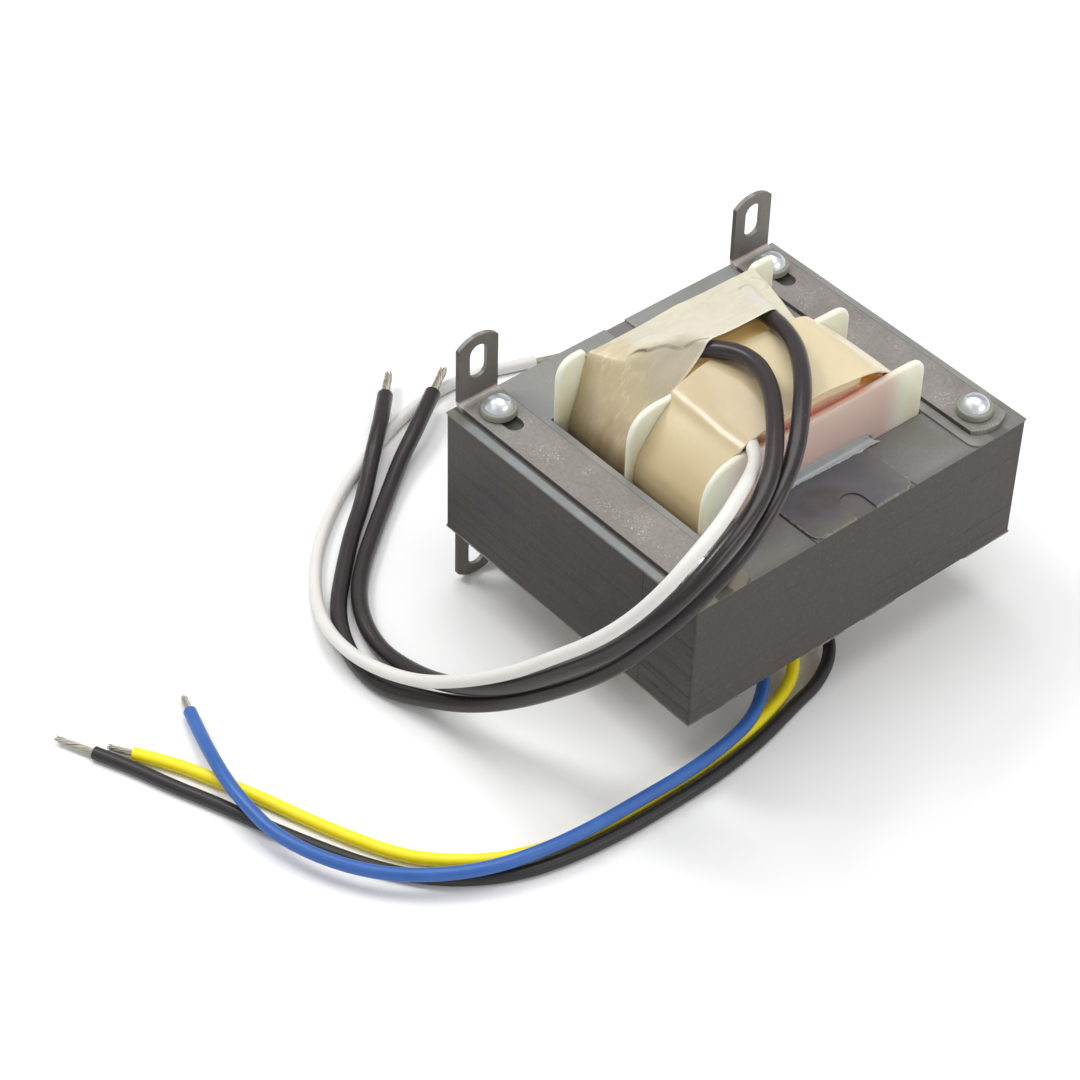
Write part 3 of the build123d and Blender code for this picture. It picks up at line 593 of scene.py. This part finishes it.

# %% [markdown]
# The brackets are dull strip steel with clusters of chalky flecks down the middle. The bend has a painted highlight,
# the rims of the flat faces are lighter from wear and a painted highlight, and the cut sides are painted dark as
# shade, so the finish measures how far a point is from the strip's edges. The strips are straight, so their own edges
# are fixed values of x and need no map.

# %% Bracket steel
def bracket_finish():
    material, where = start_finish("bracket strip steel")
    x, y, z = where.axes("XYZ")
    cloud = where.noise(11.0, 5.0)
    grain = where.noise(0.9, 3.0, 0.65)
    flat = abs(z - MID).smooth(22.0, 21.4)
    tone = (cloud * 0.5 + grain * 0.5).mix(srgb(98, 93, 89), srgb(140, 134, 129))
    tone = flat.mix(tone, (cloud * 0.45 + grain * 0.55).mix(srgb(92, 88, 84), srgb(166, 161, 156)))
    patch = where.noise(9.0, 3.0).smooth(0.48, 0.64) * abs(abs(x) - BRACKET_X).smooth(6.2, 3.5)
    fleck = where.noise(0.55, 3.0, 0.75).smooth(0.56, 0.68) * patch
    tone = (fleck * flat * 0.75).mix(tone, srgb(222, 219, 212))
    # The rims of the flat faces and the tab's tip are lighter: partly wear, partly a painted highlight.
    edge = abs(abs(x) - BRACKET_X).smooth(6.2, 6.48)
    tip = abs(z - MID).smooth(40.0, 40.6)
    bend = y.smooth(44.0, 45.6) * flat
    wear_and_highlight = where.noise(3.0, 3.0).smooth(0.35, 0.6)
    rim = edge + tip
    tone = (rim.sum("MINIMUM", 1.0) * wear_and_highlight * 0.5).mix(tone, srgb(170, 170, 168))
    # Painted shade on the cut sides of the strip.
    side_shade = abs(x).smooth(53.9, 54.08) + abs(x).smooth(41.35, 41.17)  # the outer and the inner side
    tone = (side_shade * 0.85).mix(tone, srgb(58, 52, 50))
    # Painted highlight along the bend.
    tone = (bend * 0.8).mix(tone, grain.mix(srgb(172, 162, 160), srgb(222, 214, 210)))
    return close_finish(material, where, Base_Color=tone, Metallic=0.35, Roughness=0.42 + 0.2 * cloud,
                        Normal=(grain + 0.6 * cloud).bump(0.03))


dress(["bracket_upper_left", "bracket_upper_right", "bracket_lower_left", "bracket_lower_right"], bracket_finish())

# %% [markdown]
# Screws, nuts and flat washers are zinc plated: bluish, bright and a little uneven. The washers under the screw
# heads are pale nylon that light sinks into, so they get a little scattering below the surface.

# %% Zinc plate and nylon
def zinc_finish():
    material, where = start_finish("bright zinc")
    cloud = where.noise(2.5, 4.0)
    tone = cloud.mix(srgb(206, 212, 218), srgb(240, 243, 246))
    return close_finish(material, where, Base_Color=tone, Metallic=0.8, Roughness=0.28 + 0.16 * cloud,
                        Normal=where.noise(0.3).bump(0.012))


def washer_finish():
    material, where = start_finish("pale washer nylon")
    cloud = where.noise(4.0, 3.0)
    tone = cloud.mix(srgb(122, 123, 113), srgb(148, 149, 138))
    return close_finish(material, where, Base_Color=tone, Roughness=0.4 + 0.1 * cloud, Subsurface_Weight=0.3,
                        Subsurface_Radius=(1.0, 1.0, 0.85), Subsurface_Scale=0.003,
                        Normal=where.noise(0.5).bump(0.015))


dress(["through_screws", "hex_nuts", "flat_washers"], zinc_finish())
dress(["insulating_washers"], washer_finish())

# %% [markdown]
# The bobbin is moulded in pale nylon that lets light through, so the copper behind the middle of the front
# flange tints it pink while its ends stay greenish white. Its flanges have soft edges, which the plain solid
# lacks, so they are made again: an outline is carried round a rounded section, and a straight tube joins them.

# %% Outlines of the bobbin
def rounded_loop(corners, radii, steps=9):
    """Closed outline with each corner P turned into a curve: (1-t)^2 A + 2 t (1-t) P + t^2 B, A and B beside P."""
    corners, radii = np.array(corners, float), np.array(radii, float)[:, None, None]
    to_last, to_next = np.roll(corners, 1, 0) - corners, np.roll(corners, -1, 0) - corners
    a = corners[:, None] + radii * (to_last / np.linalg.norm(to_last, axis=1, keepdims=True))[:, None]
    b = corners[:, None] + radii * (to_next / np.linalg.norm(to_next, axis=1, keepdims=True))[:, None]
    t = np.linspace(0, 1, steps)[None, :, None]
    return ((1 - t) ** 2 * a + 2 * t * (1 - t) * corners[:, None] + t ** 2 * b).reshape(-1, 2)


def inset(loop, by):
    """The outline moved inwards along its normals."""
    along = np.roll(loop, -1, 0) - np.roll(loop, 1, 0)
    normal = np.stack([along[:, 1], -along[:, 0]], 1) / np.linalg.norm(along, axis=1, keepdims=True)
    return loop - by * normal


def carried(ways):
    """Grid whose columns are outlines in x and z, each set at its own y: point (i, j) is (x_i, y_j, z_i)."""
    return np.stack([np.stack([at[:, 0], np.full(len(at), y), at[:, 1]], 1) for at, y in ways], 1)


def flange_grid(loop, y_low, y_high, edge=0.8):
    """Section round a flange: hole, face, quarter round, rim, quarter round, face, back to the hole."""
    hole = loop / np.maximum(np.abs(loop[:, :1]) / tube[0], np.abs(loop[:, 1:]) / tube[1])
    turn = np.linspace(0, np.pi / 2, 6)
    ways = [(hole, y_low)] + [(inset(loop, edge * (1 - np.sin(a))), y_low + edge * (1 - np.cos(a))) for a in turn]
    ways += [(inset(loop, edge * (1 - np.cos(a))), y_high - edge * (1 - np.sin(a))) for a in turn] + [(hole, y_high)]
    grid = carried(ways)
    grid[..., 2] += MID - TILT * grid[..., 0]
    return grid


def four_corners(wide, high):
    """Corners of an upright rectangle with these half sizes, from the lower right one round to the lower left."""
    return [(wide, -high), (wide, high), (-wide, high), (-wide, -high)]


# %% Flanges and tube
TILT = 0.022  # fall of the flanges for each millimetre of x
tube = (20.75, 21.35)  # half sizes of the tube's outside
wide, high, drop = 37.9, 38.25, 34.65  # half sizes of a flange, and of the back one between its ears
sides = four_corners(wide, high)
front_loop, plain = rounded_loop(sides, [5, 5, 13, 13]), rounded_loop(sides, [5, 5, 10, 10])
ears = [(36.8, high), (29.2, high), (27.6, drop), (-27.6, drop), (-29.2, high), (-wide, high)]
notched = rounded_loop(ears + [(x, -z) for x, z in ears[::-1]], [3, 2, 2, 2, 1, 7, 7, 1, 2, 2, 2, 3])
outer, inner = 28.375, 26.375  # faces of the front and back flanges
grids = [flange_grid(front_loop, -outer, -inner), flange_grid(plain, -1, 1), flange_grid(notched, inner, outer)]
square = rounded_loop(four_corners(*tube), [0.5] * 4)
bore, tube_end = inset(square, 1.5), 28.2
grids += [carried([(square, -tube_end), (square, tube_end), (bore, tube_end), (bore, -tube_end)]) + [0, 0, MID]]
print("bobbin grids:", [grid.shape for grid in grids])

# %% Bobbin nylon
def bobbin_finish():
    material, where = start_finish("pale bobbin nylon")
    x, y, z = where.axes("XYZ")
    cloud = where.noise(12.0, 3.0)
    tone = cloud.mix(srgb(218, 219, 200), srgb(228, 229, 212))
    front = y.smooth(-25.0, -26.2)
    behind = abs(x).smooth(32.0, 23.0) * abs(z - MID).smooth(42.0, 35.0)
    pink = cloud.mix(srgb(196, 168, 158), srgb(206, 178, 166))
    tone = (behind * front * 0.95).mix(tone, pink)
    lip = x.smooth(-24.0, -20.0) * x.smooth(21.0, 14.0) * (z - MID + TILT * x).smooth(37.5, 38.0) * front
    tone = (lip * 0.75).mix(tone, where.noise(5.0, 3.0).mix(srgb(172, 100, 80), srgb(200, 146, 120)))
    warm = abs(x).smooth(29.0, 36.0) * abs(z - MID).smooth(36.0, 20.0)
    tone = (warm * 0.35).mix(tone, srgb(216, 200, 148))
    return close_finish(material, where, Base_Color=tone, Roughness=0.34 + 0.1 * cloud, Subsurface_Weight=0.6,
                        Subsurface_Radius=(1.0, 1.0, 0.85), Subsurface_Scale=0.005,
                        Normal=where.noise(1.2).bump(0.02))


# %% Moulded bobbin
def joined_piece(name, parts):
    """One object from several grids that are closed both ways, with crisp edges kept crisp."""
    starts = np.cumsum([0] + [part.shape[0] * part.shape[1] for part in parts])
    quads = [grid_faces(1, *part.shape[:2], True, True, True) + start for part, start in zip(parts, starts)]
    points = np.concatenate([part.reshape(-1, 3) for part in parts])
    piece = mesh_piece(name, points, np.concatenate(quads).tolist())
    piece.data.set_sharp_from_angle(angle=math.radians(50))
    return piece


bobbin = joined_piece("bobbin_moulded", grids)
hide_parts("bobbin")
dress(["bobbin_moulded"], bobbin_finish())

# %% [markdown]
# The windings are many turns of enamelled wire. Each turn could be a helix, but almost all of them lie under tape, so
# the solid stays and the turns are a relief of fine ridges that run round the coil, with painted shade in the grooves
# between them.

# %% Copper wire
def copper_finish():
    material, where = start_finish("enamelled copper")
    (y,) = where.axes("Y")
    turn_pitch = 1.3
    ridge = abs((y / turn_pitch).sum("FRACT") - 0.5) * 2.0
    cloud = where.noise(6.0, 3.0)
    tone = cloud.mix(srgb(150, 62, 36), srgb(186, 92, 56))
    # Painted shade: the grooves between the turns are darker.
    tone = (ridge.smooth(0.6, 1.0) * 0.6).mix(tone, srgb(84, 30, 18))
    return close_finish(material, where, Base_Color=tone, Metallic=0.55, Roughness=0.3, Coat_Weight=0.5,
                        Normal=(1.0 - ridge ** 2.0).bump(0.2))


dress(["primary_winding", "secondary_winding"], copper_finish())

# %% [markdown]
# Cream tape is wound round each section. Over the front one it bridges the bundle of turns like a low roof with two
# ridges, and its front edge has sprung up. A solid block could be shaped by hand, but a sheet that goes through a net
# of measured points is closer to real tape: rows of the net are rings round the coil and columns run from front to
# back. Low down the tape fits between the flanges, and only its crown spreads over them. Both cream tapes share a
# finish. It has painted shade on the tape's sides and on the left part of the front roof, and painted light just
# behind the middle flange, where light comes in under the thin tape: an amber tint and a faint glow.

# %% Nets and sheets
def ring_net(rows, lower=()):
    """Net of rings: each row is (y, points from left to right over the top), and all rows end in the lower points."""
    return np.array([[(x, y, z + MID) for x, z in [*over, *lower]] for y, over in rows]).transpose(1, 0, 2)


def sheet_piece(name, points, thick, loop_u=False, flip=False):
    """A sheet through points, thickened inwards by `thick` millimetres."""
    piece = grid_piece(name, points, loop_u=loop_u, flip=flip)
    solid = piece.modifiers.new("thickness", "SOLIDIFY")
    solid.thickness = thick * MM
    solid.offset = -1.0
    return piece


# %% Rows of the front tape
crown_low = [(36.3, 0), (36.3, -16.6), (34.7, -24.6), (30.2, -31.3), (23.5, -35.8), (15.5, -37.4), (0, -37.5),
             (-15.5, -37.4), (-23.5, -35.8), (-30.2, -31.3), (-34.7, -24.6), (-36.3, -16.6), (-36.3, 0)]
crown_rows = [
    (-27.2, [(-36.3, 16), (-35.6, 24), (-33.2, 29.6), (-29.8, 34.6), (-27, 38), (-25.2, 40), (-23, 41.1),
             (-19.5, 41.8), (-15.5, 42.7), (-11.5, 43.7), (-8.5, 44.1), (-3, 44.2), (4, 43.9), (10.5, 42.9),
             (16, 42.2), (20, 41.3), (22.4, 40.3), (24.6, 38.6), (28.2, 35.8), (31.8, 32), (34.4, 27), (35.9, 21.5),
             (36.3, 16)]),
    (-19, [(-36.3, 16), (-35.6, 24), (-33.2, 29.6), (-29.8, 34.6), (-26.8, 38), (-24.8, 40), (-22.4, 41),
           (-19, 41.7), (-15.2, 42.5), (-11.5, 43.4), (-8.5, 43.7), (-3, 43.8), (4, 43.5), (10.5, 42.8), (16, 41.9),
           (20, 41.1), (22.6, 40.1), (25.2, 38.4), (28.6, 35.8), (31.9, 32), (34.4, 27), (35.9, 21.5), (36.3, 16)]),
    (-9, [(-36.3, 16), (-35.6, 24), (-33, 29.6), (-29.4, 34.6), (-26, 38), (-23.8, 40), (-21.4, 41), (-18.4, 41.8),
          (-14.8, 42.6), (-11.3, 43.3), (-8.3, 43.5), (-3, 43.6), (4, 43.3), (10.5, 42.7), (16, 42), (20, 41.3),
          (22.8, 40.3), (25.3, 38.5), (28.6, 35.8), (31.9, 32), (34.4, 27), (35.9, 21.5), (36.3, 16)]),
    (0.6, [(-36.3, 16), (-35.6, 24), (-32.8, 29.4), (-29, 34.2), (-25.4, 37.6), (-23.2, 39.4), (-20.8, 40.5),
           (-17.8, 41.4), (-14.4, 42.4), (-11, 43), (-8, 43.1), (-3, 43), (4, 42.8), (10.5, 42.5), (16, 42.1),
           (20, 41.4), (22.8, 40.3), (25.2, 38.4), (28.4, 35.6), (31.8, 31.8), (34.4, 27), (35.9, 21.5),
           (36.3, 16)]),
]
print("front tape:", len(crown_rows), "rows of", len(crown_rows[0][1]) + len(crown_low), "points")

# %% Cream tape finish
def cream_finish():
    material, where = start_finish("cream tape")
    x, y, z = where.axes("XYZ")
    cloud = where.noise(18.0, 4.0)
    fine = where.noise(0.7, 3.0)
    tone = cloud.mix(srgb(212, 194, 156), srgb(222, 206, 170))
    # Painted shade: the tape's sides are darker and warmer than its top.
    side = abs(z - MID).smooth(40.0, 24.0)
    tone = (side * 0.6).mix(tone, cloud.mix(srgb(192, 162, 108), srgb(202, 174, 124)))
    fold = where.noise(6.0, 4.0, 0.6, (0.4, 1.6, 1.0)).smooth(0.58, 0.75)
    tone = (fold * 0.15).mix(tone, srgb(232, 220, 190))
    # Painted shade: the left part of the front roof is darker.
    left = x.smooth(0.0, -7.0) * x.smooth(-27.5, -24.5) * y.smooth(2.0, 0.0) * (1.0 - side)
    tone = (left * 0.8).mix(tone, cloud.mix(srgb(178, 158, 120), srgb(192, 173, 137)))
    # Painted light behind the middle flange, where light comes in under the thin tape: an amber tint, and a faint glow
    # in the emission.
    light_under_tape = y.smooth(0.2, 1.4) * y.smooth(12.0, 7.0) * (1.0 - side)
    tone = (light_under_tape * 0.7).mix(tone, srgb(226, 186, 104))
    painted_glow = light_under_tape * x.smooth(-19.0, -15.0) * x.smooth(16.0, 12.0) * 0.16
    return close_finish(material, where, Base_Color=tone, Roughness=0.3 + 0.1 * cloud, Coat_Weight=0.7,
                        Emission_Color=painted_glow.mix((0.0, 0.0, 0.0), srgb(236, 190, 112)), Emission_Strength=1.0,
                        Coat_Roughness=0.23, Subsurface_Weight=0.25, Subsurface_Radius=(1.0, 0.9, 0.7),
                        Subsurface_Scale=0.002,
                        Normal=(where.noise(9.0, 2.0) + 0.03 * fine).bump(0.2))


cream = cream_finish()

# %% Cream tape over the front section
SHOULDER = MID + 24  # the tape is uneven from this height up
crown = net_surface(ring_net(crown_rows, crown_low), 480, 70, loop_u=True)
crown[..., 2] += 0.07 * ripple(crown, 3, 18.0) * (crown[..., 2] > SHOULDER)
edge_y, flange_y = (crown_rows[0][0], crown_rows[-1][0]), (-26.3, -1.05)  # spread out, and between the flanges
between = np.interp(crown[..., 1], edge_y, flange_y)
rim, rise = MID + 38.2, 1.4  # the tape begins to spread at the flange's rim, and has spread this much higher
lift = np.clip((crown[..., 2] - rim) / rise, 0, 1)
crown[..., 1] = between + (crown[..., 1] - between) * lift ** 2 * (3 - 2 * lift)
front_tape = sheet_piece("front_tape", crown, 0.5, loop_u=True)
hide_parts("primary_wrap")
dress(["front_tape"], cream)

# %% [markdown]
# Under the sprung front edge the roof is a pack of tape turns, and their edges fill the slit down to the flange: tan
# at the top, then pinkish brown with small painted glints, and a thread of red enamel at the bottom. Both ends of the
# slit are hollow. Edge-on, the pack is one uneven wall, so it is a grid across the slit whose depth steps from turn to
# turn, and each point keeps its share of the way down for the finish to read.

# %% Edges of the tape turns
def slit_wall(nu=260, nv=60):
    """Grid over the slit: x along it, height from the roof's lip to the flange, depth from the stepped turns."""
    left, width, turns, hollow = -23.0, 47.2, 9, 5.0
    u, v = np.meshgrid(np.linspace(0, 1, nu), np.linspace(0, 1, nv), indexing="ij")
    x = left + width * u
    lip_x, lip_z = np.array(crown_rows[0][1][4:19]).T
    high_z = np.interp(x, lip_x, lip_z) - 0.4
    low_z = 37.3 - TILT * x
    z = high_z + (np.minimum(low_z, high_z - 0.2) - high_z) * v
    spot = np.stack([x, 7.0 * v, 0 * x], -1)
    turn = v * turns + 0.5 * ripple(spot, 31, 16.0)
    step = 0.2 * (turn - np.floor(turn)) + 0.2 * np.abs(ripple(spot, 32, 3.0)) * v
    bulge = np.sin(np.pi * np.clip(v * 1.05, 0, 1))
    ends = np.exp(-((x - 20.2) / 3.0) ** 2) * hollow + np.exp(-((x + 21.5) / 2.6) ** 2) * hollow
    y = -27.05 - 0.1 * v + step + ends * bulge
    return np.stack([x, y, z + MID], -1), v


# %% Tan and red of the turns' edges
def slit_finish():
    material, where = start_finish("edges of tape turns")
    (x,) = where.axes("X")
    down = where.node("ShaderNodeAttribute", {"attribute_name": "share"}, {}, 2)
    streak = where.noise(2.0, 4.0, 0.65, (0.25, 1, 1.6))
    painted_glint = where.noise(0.55, 3.0, 0.7).smooth(0.6, 0.7) * where.noise(4.0, 2.0).smooth(0.45, 0.6)
    level = down + 0.22 * (streak - 0.5)
    tone = level.smooth(0.3, 0.46).mix(srgb(218, 190, 146), srgb(186, 140, 112))
    tone = level.smooth(0.52, 0.72).mix(tone, srgb(166, 104, 76))
    red = level.smooth(0.66, 0.74)
    tone = (red * (0.5 + 0.5 * where.noise(9.0).smooth(0.4, 0.6))).mix(tone, srgb(184, 76, 60))
    amber = x.smooth(13.0, 18.0)
    tone = (amber * 0.85).mix(tone, streak.mix(srgb(176, 112, 34), srgb(228, 172, 84)))
    dark = x.smooth(-17.5, -20.5)
    tone = (dark * 0.8).mix(tone, srgb(112, 66, 26))
    # Painted glints: small light specks on the pinkish brown edges.
    tone = (painted_glint * down.smooth(0.3, 0.5) * 0.8).mix(tone, srgb(244, 226, 210))
    return close_finish(material, where, Base_Color=tone, Roughness=0.25 + 0.25 * streak, Coat_Weight=0.4,
                        Subsurface_Weight=0.3, Subsurface_Radius=(1.0, 0.8, 0.6), Subsurface_Scale=0.002,
                        Normal=streak.bump(0.25))


points, share = slit_wall()
slit = sheet_piece("tape_turns", points, 0.4, flip=True)
slit.data.attributes.new("share", "FLOAT", "POINT").data.foreach_set("value", share.ravel())
dress(["tape_turns"], slit_finish())

# %% [markdown]
# The back section is taped the same way. Its flat top is narrow at the middle flange and wide at the back one, so
# three rows of the net are enough. The lower side is the upper one mirrored, kept clear of the floor.

# %% Cream tape over the back section
roof_rows = [
    (1.1, [(-34.2, 6), (-33, 14), (-30.2, 24), (-26, 30.4), (-21, 35.8), (-17, 39.2), (-13.2, 41), (-7, 42.2),
           (3, 42.4), (10, 41.4), (16, 39.2), (20.6, 37.4), (25, 33), (28.4, 26.6), (32.6, 17), (34.2, 6)]),
    (13, [(-34.2, 6), (-33.2, 15), (-30.2, 23), (-26.6, 31), (-24.4, 35.8), (-23, 37.2), (-20, 37.6), (-8, 37.6),
          (4, 37.7), (14, 37.6), (23, 37.6), (26, 36.6), (27.6, 33), (30.2, 26.2), (33.2, 16), (34.2, 6)]),
    (26.3, [(-34.2, 6), (-33.6, 15), (-32, 24), (-30.4, 31.5), (-29.2, 36), (-28, 37.4), (-25, 37.8), (-10, 37.8),
            (2, 38.2), (14, 37.5), (26, 37.5), (29.2, 36.8), (30.4, 33.4), (31.8, 27), (33.6, 16.4), (34.2, 6)]),
]
lowest = 37.7
rings = [(y, row + [(x, -min(z, lowest)) for x, z in row[::-1]]) for y, row in roof_rows]
points = net_surface(ring_net(rings), 460, 60, loop_u=True)
points[..., 2] += 0.06 * ripple(points, 5, 15.0) * (points[..., 2] > SHOULDER)
back_tape = sheet_piece("back_tape", points, 0.4, loop_u=True)
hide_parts("secondary_wrap")
dress(["back_tape"], cream)

# %% [markdown]
# A last strip of thin tape holds the two heavy leads down. It climbs the left side, runs over the back section and
# tents over the leads, so its net has a row for each of six places from front to back. It is dull and a little grey,
# smeared brown low on the left, and the dark left lead shows through along the crease. A painted highlight sits on the
# bulge over the right lead's end, with painted shade in the dark arcs behind it. Those marks follow the leads, so the
# finish measures along and across each lead's own line.

# %% Rows of the thin tape
tent_rows = [
    (2.0, [(-34.9, 20), (-31.5, 26), (-26, 31.6), (-20.5, 37.2), (-15, 42), (-11.8, 45.4), (-9.8, 48), (-5, 47.8),
           (0.4, 47.5), (5, 47.4), (9, 47.4), (11.6, 47.2), (13.6, 46), (14.9, 43.6), (16, 40.8), (17.8, 38.8),
           (21.8, 38)]),
    (8, [(-34.9, 19.5), (-32, 26), (-27.4, 32), (-22.7, 37.4), (-18, 41.8), (-15, 44.6), (-12.2, 46.1), (-6, 45.5),
         (0.4, 45), (5, 44.9), (9.6, 45.4), (13, 45.4), (15.4, 44.2), (16.8, 42), (18, 40), (19.6, 38.7), (23.2, 38)]),
    (14, [(-34.7, 19), (-32.2, 26.4), (-28.4, 32.8), (-25.4, 37.6), (-22.8, 41.6), (-20.2, 43.8), (-17, 44.3),
          (-9, 43), (0.4, 42.2), (5, 42.2), (10.4, 42.7), (14.8, 43), (17.4, 42.4), (18.8, 41), (20, 39.6),
          (21.4, 38.6), (25, 38)]),
    (17, [(-34.6, 18.8), (-32.1, 26.5), (-28.7, 33.2), (-25.6, 38.4), (-23.4, 40.2), (-20.8, 42.1), (-17, 42.5),
          (-9, 41.5), (0.4, 40.9), (5, 40.9), (11.2, 41.3), (15.8, 41.8), (18.6, 41.5), (20, 40.4), (21.2, 39.3),
          (22.6, 38.5), (25.8, 38)]),
    (20, [(-34.5, 18.5), (-32, 26.6), (-29, 33.6), (-26.5, 38.6), (-24, 39.4), (-21, 40.3), (-17, 40.5), (-9, 40),
          (0.4, 39.6), (5, 39.6), (12, 39.9), (16.6, 40.4), (19.4, 40.3), (20.8, 39.8), (22, 39), (23.4, 38.4),
          (26.6, 38)]),
    (26.1, [(-34.2, 17), (-32, 25.5), (-30.2, 32), (-28.5, 38), (-26, 38.3), (-22, 38.2), (-17, 38.2), (-9, 38.3),
            (0.4, 38.8), (5, 38.5), (12, 38.2), (18, 38.1), (20.6, 38.1), (22, 38), (23.2, 38), (24.6, 38),
            (28.2, 38)]),
]
tent_foot = [(-34.9, -17), (-34.9, 5)]
tent_net = ring_net([(y, tent_foot + row) for y, row in tent_rows])
print("thin tape net:", tent_net.shape)

# %% Thin tape finish
def lead_axes(x, y, at, way):
    """Distances along and across a straight line seen from above: through `at`, along the unit vector `way`."""
    dx, dy = x - at[0], y - at[1]
    return dx * way[0] + dy * way[1], dy * way[0] - dx * way[1]


def thin_tape_finish():
    material, where = start_finish("thin dull tape")
    x, y, z = where.axes("XYZ")
    cloud = where.noise(14.0, 4.0)
    streak = where.noise(7.0, 4.0, 0.55, (1.2, 1.2, 0.25))
    tone = cloud.mix(srgb(214, 206, 184), srgb(224, 217, 197))
    side = x.smooth(-14.0, -27.0)
    tone = (side * 0.85).mix(tone, cloud.mix(srgb(184, 166, 128), srgb(202, 186, 150)))
    fibre = where.noise(2.4, 6.0, 0.72, (0.5, 1.4, 0.5))
    tone = (fibre.smooth(0.5, 0.72) * 0.42).mix(tone, srgb(236, 229, 208))
    tone = (fibre.smooth(0.48, 0.28) * 0.35).mix(tone, srgb(184, 168, 134))
    gold = y.smooth(21.0, 25.5) * side * z.smooth(MID + 38.0, MID + 33.0)
    tone = (gold * 0.4).mix(tone, srgb(200, 182, 120))
    low = z.smooth(MID + 34.0, MID + 17.0) * x.smooth(-24.0, -31.0)
    tone = (low * (0.45 + 0.35 * streak.smooth(0.35, 0.7))).mix(tone, srgb(128, 102, 64))
    grey = x.smooth(-29.0, -22.0) * x.smooth(-8.0, -13.0) * y.smooth(14.0, 8.0)
    tone = (grey * 0.5).mix(tone, srgb(182, 172, 148))
    along, across = lead_axes(x, y, (-9.0, 2.7), (0.7172, -0.6969))
    wave = 0.3 + 0.35 * (along * 0.7).sum("SINE")
    thread = abs(across + wave).smooth(0.6, 0.12) * along.smooth(-20.5, -18.0) * along.smooth(0.5, -0.5)
    dark = thread * (0.5 + 0.5 * along.smooth(-13.0, -16.5)) * where.noise(1.6, 3.0).smooth(0.2, 0.48)
    tone = (dark * 0.85).mix(tone, srgb(84, 78, 80))
    dirt = where.specks(1.1).smooth(0.22, 0.08) * where.noise(6.0, 4.0).smooth(0.5, 0.66) * side
    tone = (dirt * 0.45).mix(tone, srgb(118, 104, 80))
    # Painted highlight on the bulge over the right heavy lead's end.
    down, off = lead_axes(x, y, (15.2, 10.4), (-0.474, -0.88))
    bulge_highlight = ((down / 8.5) ** 2.0 + (off / 2.8) ** 2.0).smooth(1.2, 0.1)
    tone = (bulge_highlight * 0.75).mix(tone, srgb(216, 215, 209))
    # Painted shade in the dark arcs behind that bulge.
    curve = ((x - 18.4) ** 2.0 + (y - 16.4) ** 2.0) ** 0.5
    ring = abs(curve - 3.1).smooth(0.9, 0.15) * y.smooth(17.2, 18.6) * x.smooth(15.2, 17.0)
    fold = abs(((x - 23.4) ** 2.0 + (y - 20.2) ** 2.0) ** 0.5 - 3.2).smooth(0.6, 0.1) * x.smooth(24.2, 25.4)
    tone = (ring * 0.5 + fold * 0.3).mix(tone, srgb(146, 140, 138))
    rim = y.smooth(2.9, 2.3)
    tone = (rim * 0.6).mix(tone, srgb(238, 234, 222))
    cover = 0.9 - 0.12 * grey + 0.1 * side
    crest = abs(across - 0.4).smooth(3.2, 1.0) * along.smooth(-24.0, -18.0) * along.smooth(3.0, 0.0)
    return close_finish(material, where, Base_Color=tone, Roughness=0.32 + 0.14 * cloud + 0.35 * crest,
                        Coat_Weight=0.4 * (1.0 - crest), Coat_Roughness=0.18, Subsurface_Weight=1.0,
                        Subsurface_Radius=(1.0, 0.95, 0.85), Subsurface_Scale=0.0003, Alpha=cover,
                        Normal=(cloud + 0.2 * streak).bump(0.25))


# %% Thin tape over the heavy leads
points = net_surface(tent_net, 320, 100)
points[..., 2] += 0.08 * ripple(points, 8, 12.0) * np.clip((points[..., 2] - MID - 20) / 10, 0, 1)
thin_tape = sheet_piece("thin_tape", points, 0.12)
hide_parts("lead_tape")
dress(["thin_tape"], thin_tape_finish())

# %% [markdown]
# A torn strip of clear film stands at the foot of the front flange and turns out over the end sheet. Its top edge is
# straight and its lower edge ragged, so the grid's last rows are pushed about by made-up unevenness, and painted
# glints brighten the ragged edge. Real glass-like bending of light would be slow and hardly seen in so thin a film, so
# it is partly clear instead.

# %% Shape of the film
def film_points():
    """Grid along X and down the L-shaped section (down the flange, round a small bend, out over the sheet)."""
    left, width, foot = -20.0, 41.5, 19.78
    u, v = np.meshgrid(np.linspace(0, 1, 260), np.linspace(0, 1, 24), indexing="ij")
    x = left + width * u - 3.2 * u ** 14 * (1 - v)
    top = 23.2 - 1.0 * u ** 3
    reach = 0.35 + 1.15 * np.clip(u * 1.4 - 0.2, 0, 1)
    bend = np.clip((v - 0.42) / 0.3, 0, 1)
    y = -28.48 - 0.25 * bend ** 2 - reach * np.clip((v - 0.6) / 0.4, 0, 1)
    z = MID + foot + (top - foot) * (1 - np.clip(v / 0.72, 0, 1)) ** 1.15
    base = np.stack([x, y, z], -1)
    ragged = 0.22 * ripple(base, 12, 5.0) + 0.16 * ripple(base, 13, 1.2)
    base[..., 1] -= ragged * v ** 4
    base[..., 2] += 0.1 * np.abs(ripple(base, 14, 2.0)) * v ** 4
    return base


# %% Film finish
def film_finish():
    material, where = start_finish("clear film")
    x, y = where.axes("XY")
    painted_glint = where.noise(0.8, 3.0, 0.7).smooth(0.48, 0.66)
    edge = (y + 28.9 + 0.027 * (x + 20.0)).smooth(0.0, -0.55)
    haze = where.noise(6.0, 3.0)
    # Painted glints: white specks along the ragged lower edge, where the film is also less clear.
    tone = (edge * painted_glint).mix(haze.mix(srgb(186, 189, 190), srgb(206, 208, 208)), srgb(250, 250, 250))
    cover = 0.58 + 0.14 * haze + 0.28 * edge * painted_glint
    return close_finish(material, where, Base_Color=tone, Roughness=0.14 + 0.1 * haze, Alpha=cover,
                        Coat_Weight=0.3, Normal=where.noise(5.0, 2.0).bump(0.1))


# %% Clear film
film = sheet_piece("film", film_points(), 0.1, flip=True)
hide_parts("film_strip")
dress(["film"], film_finish())
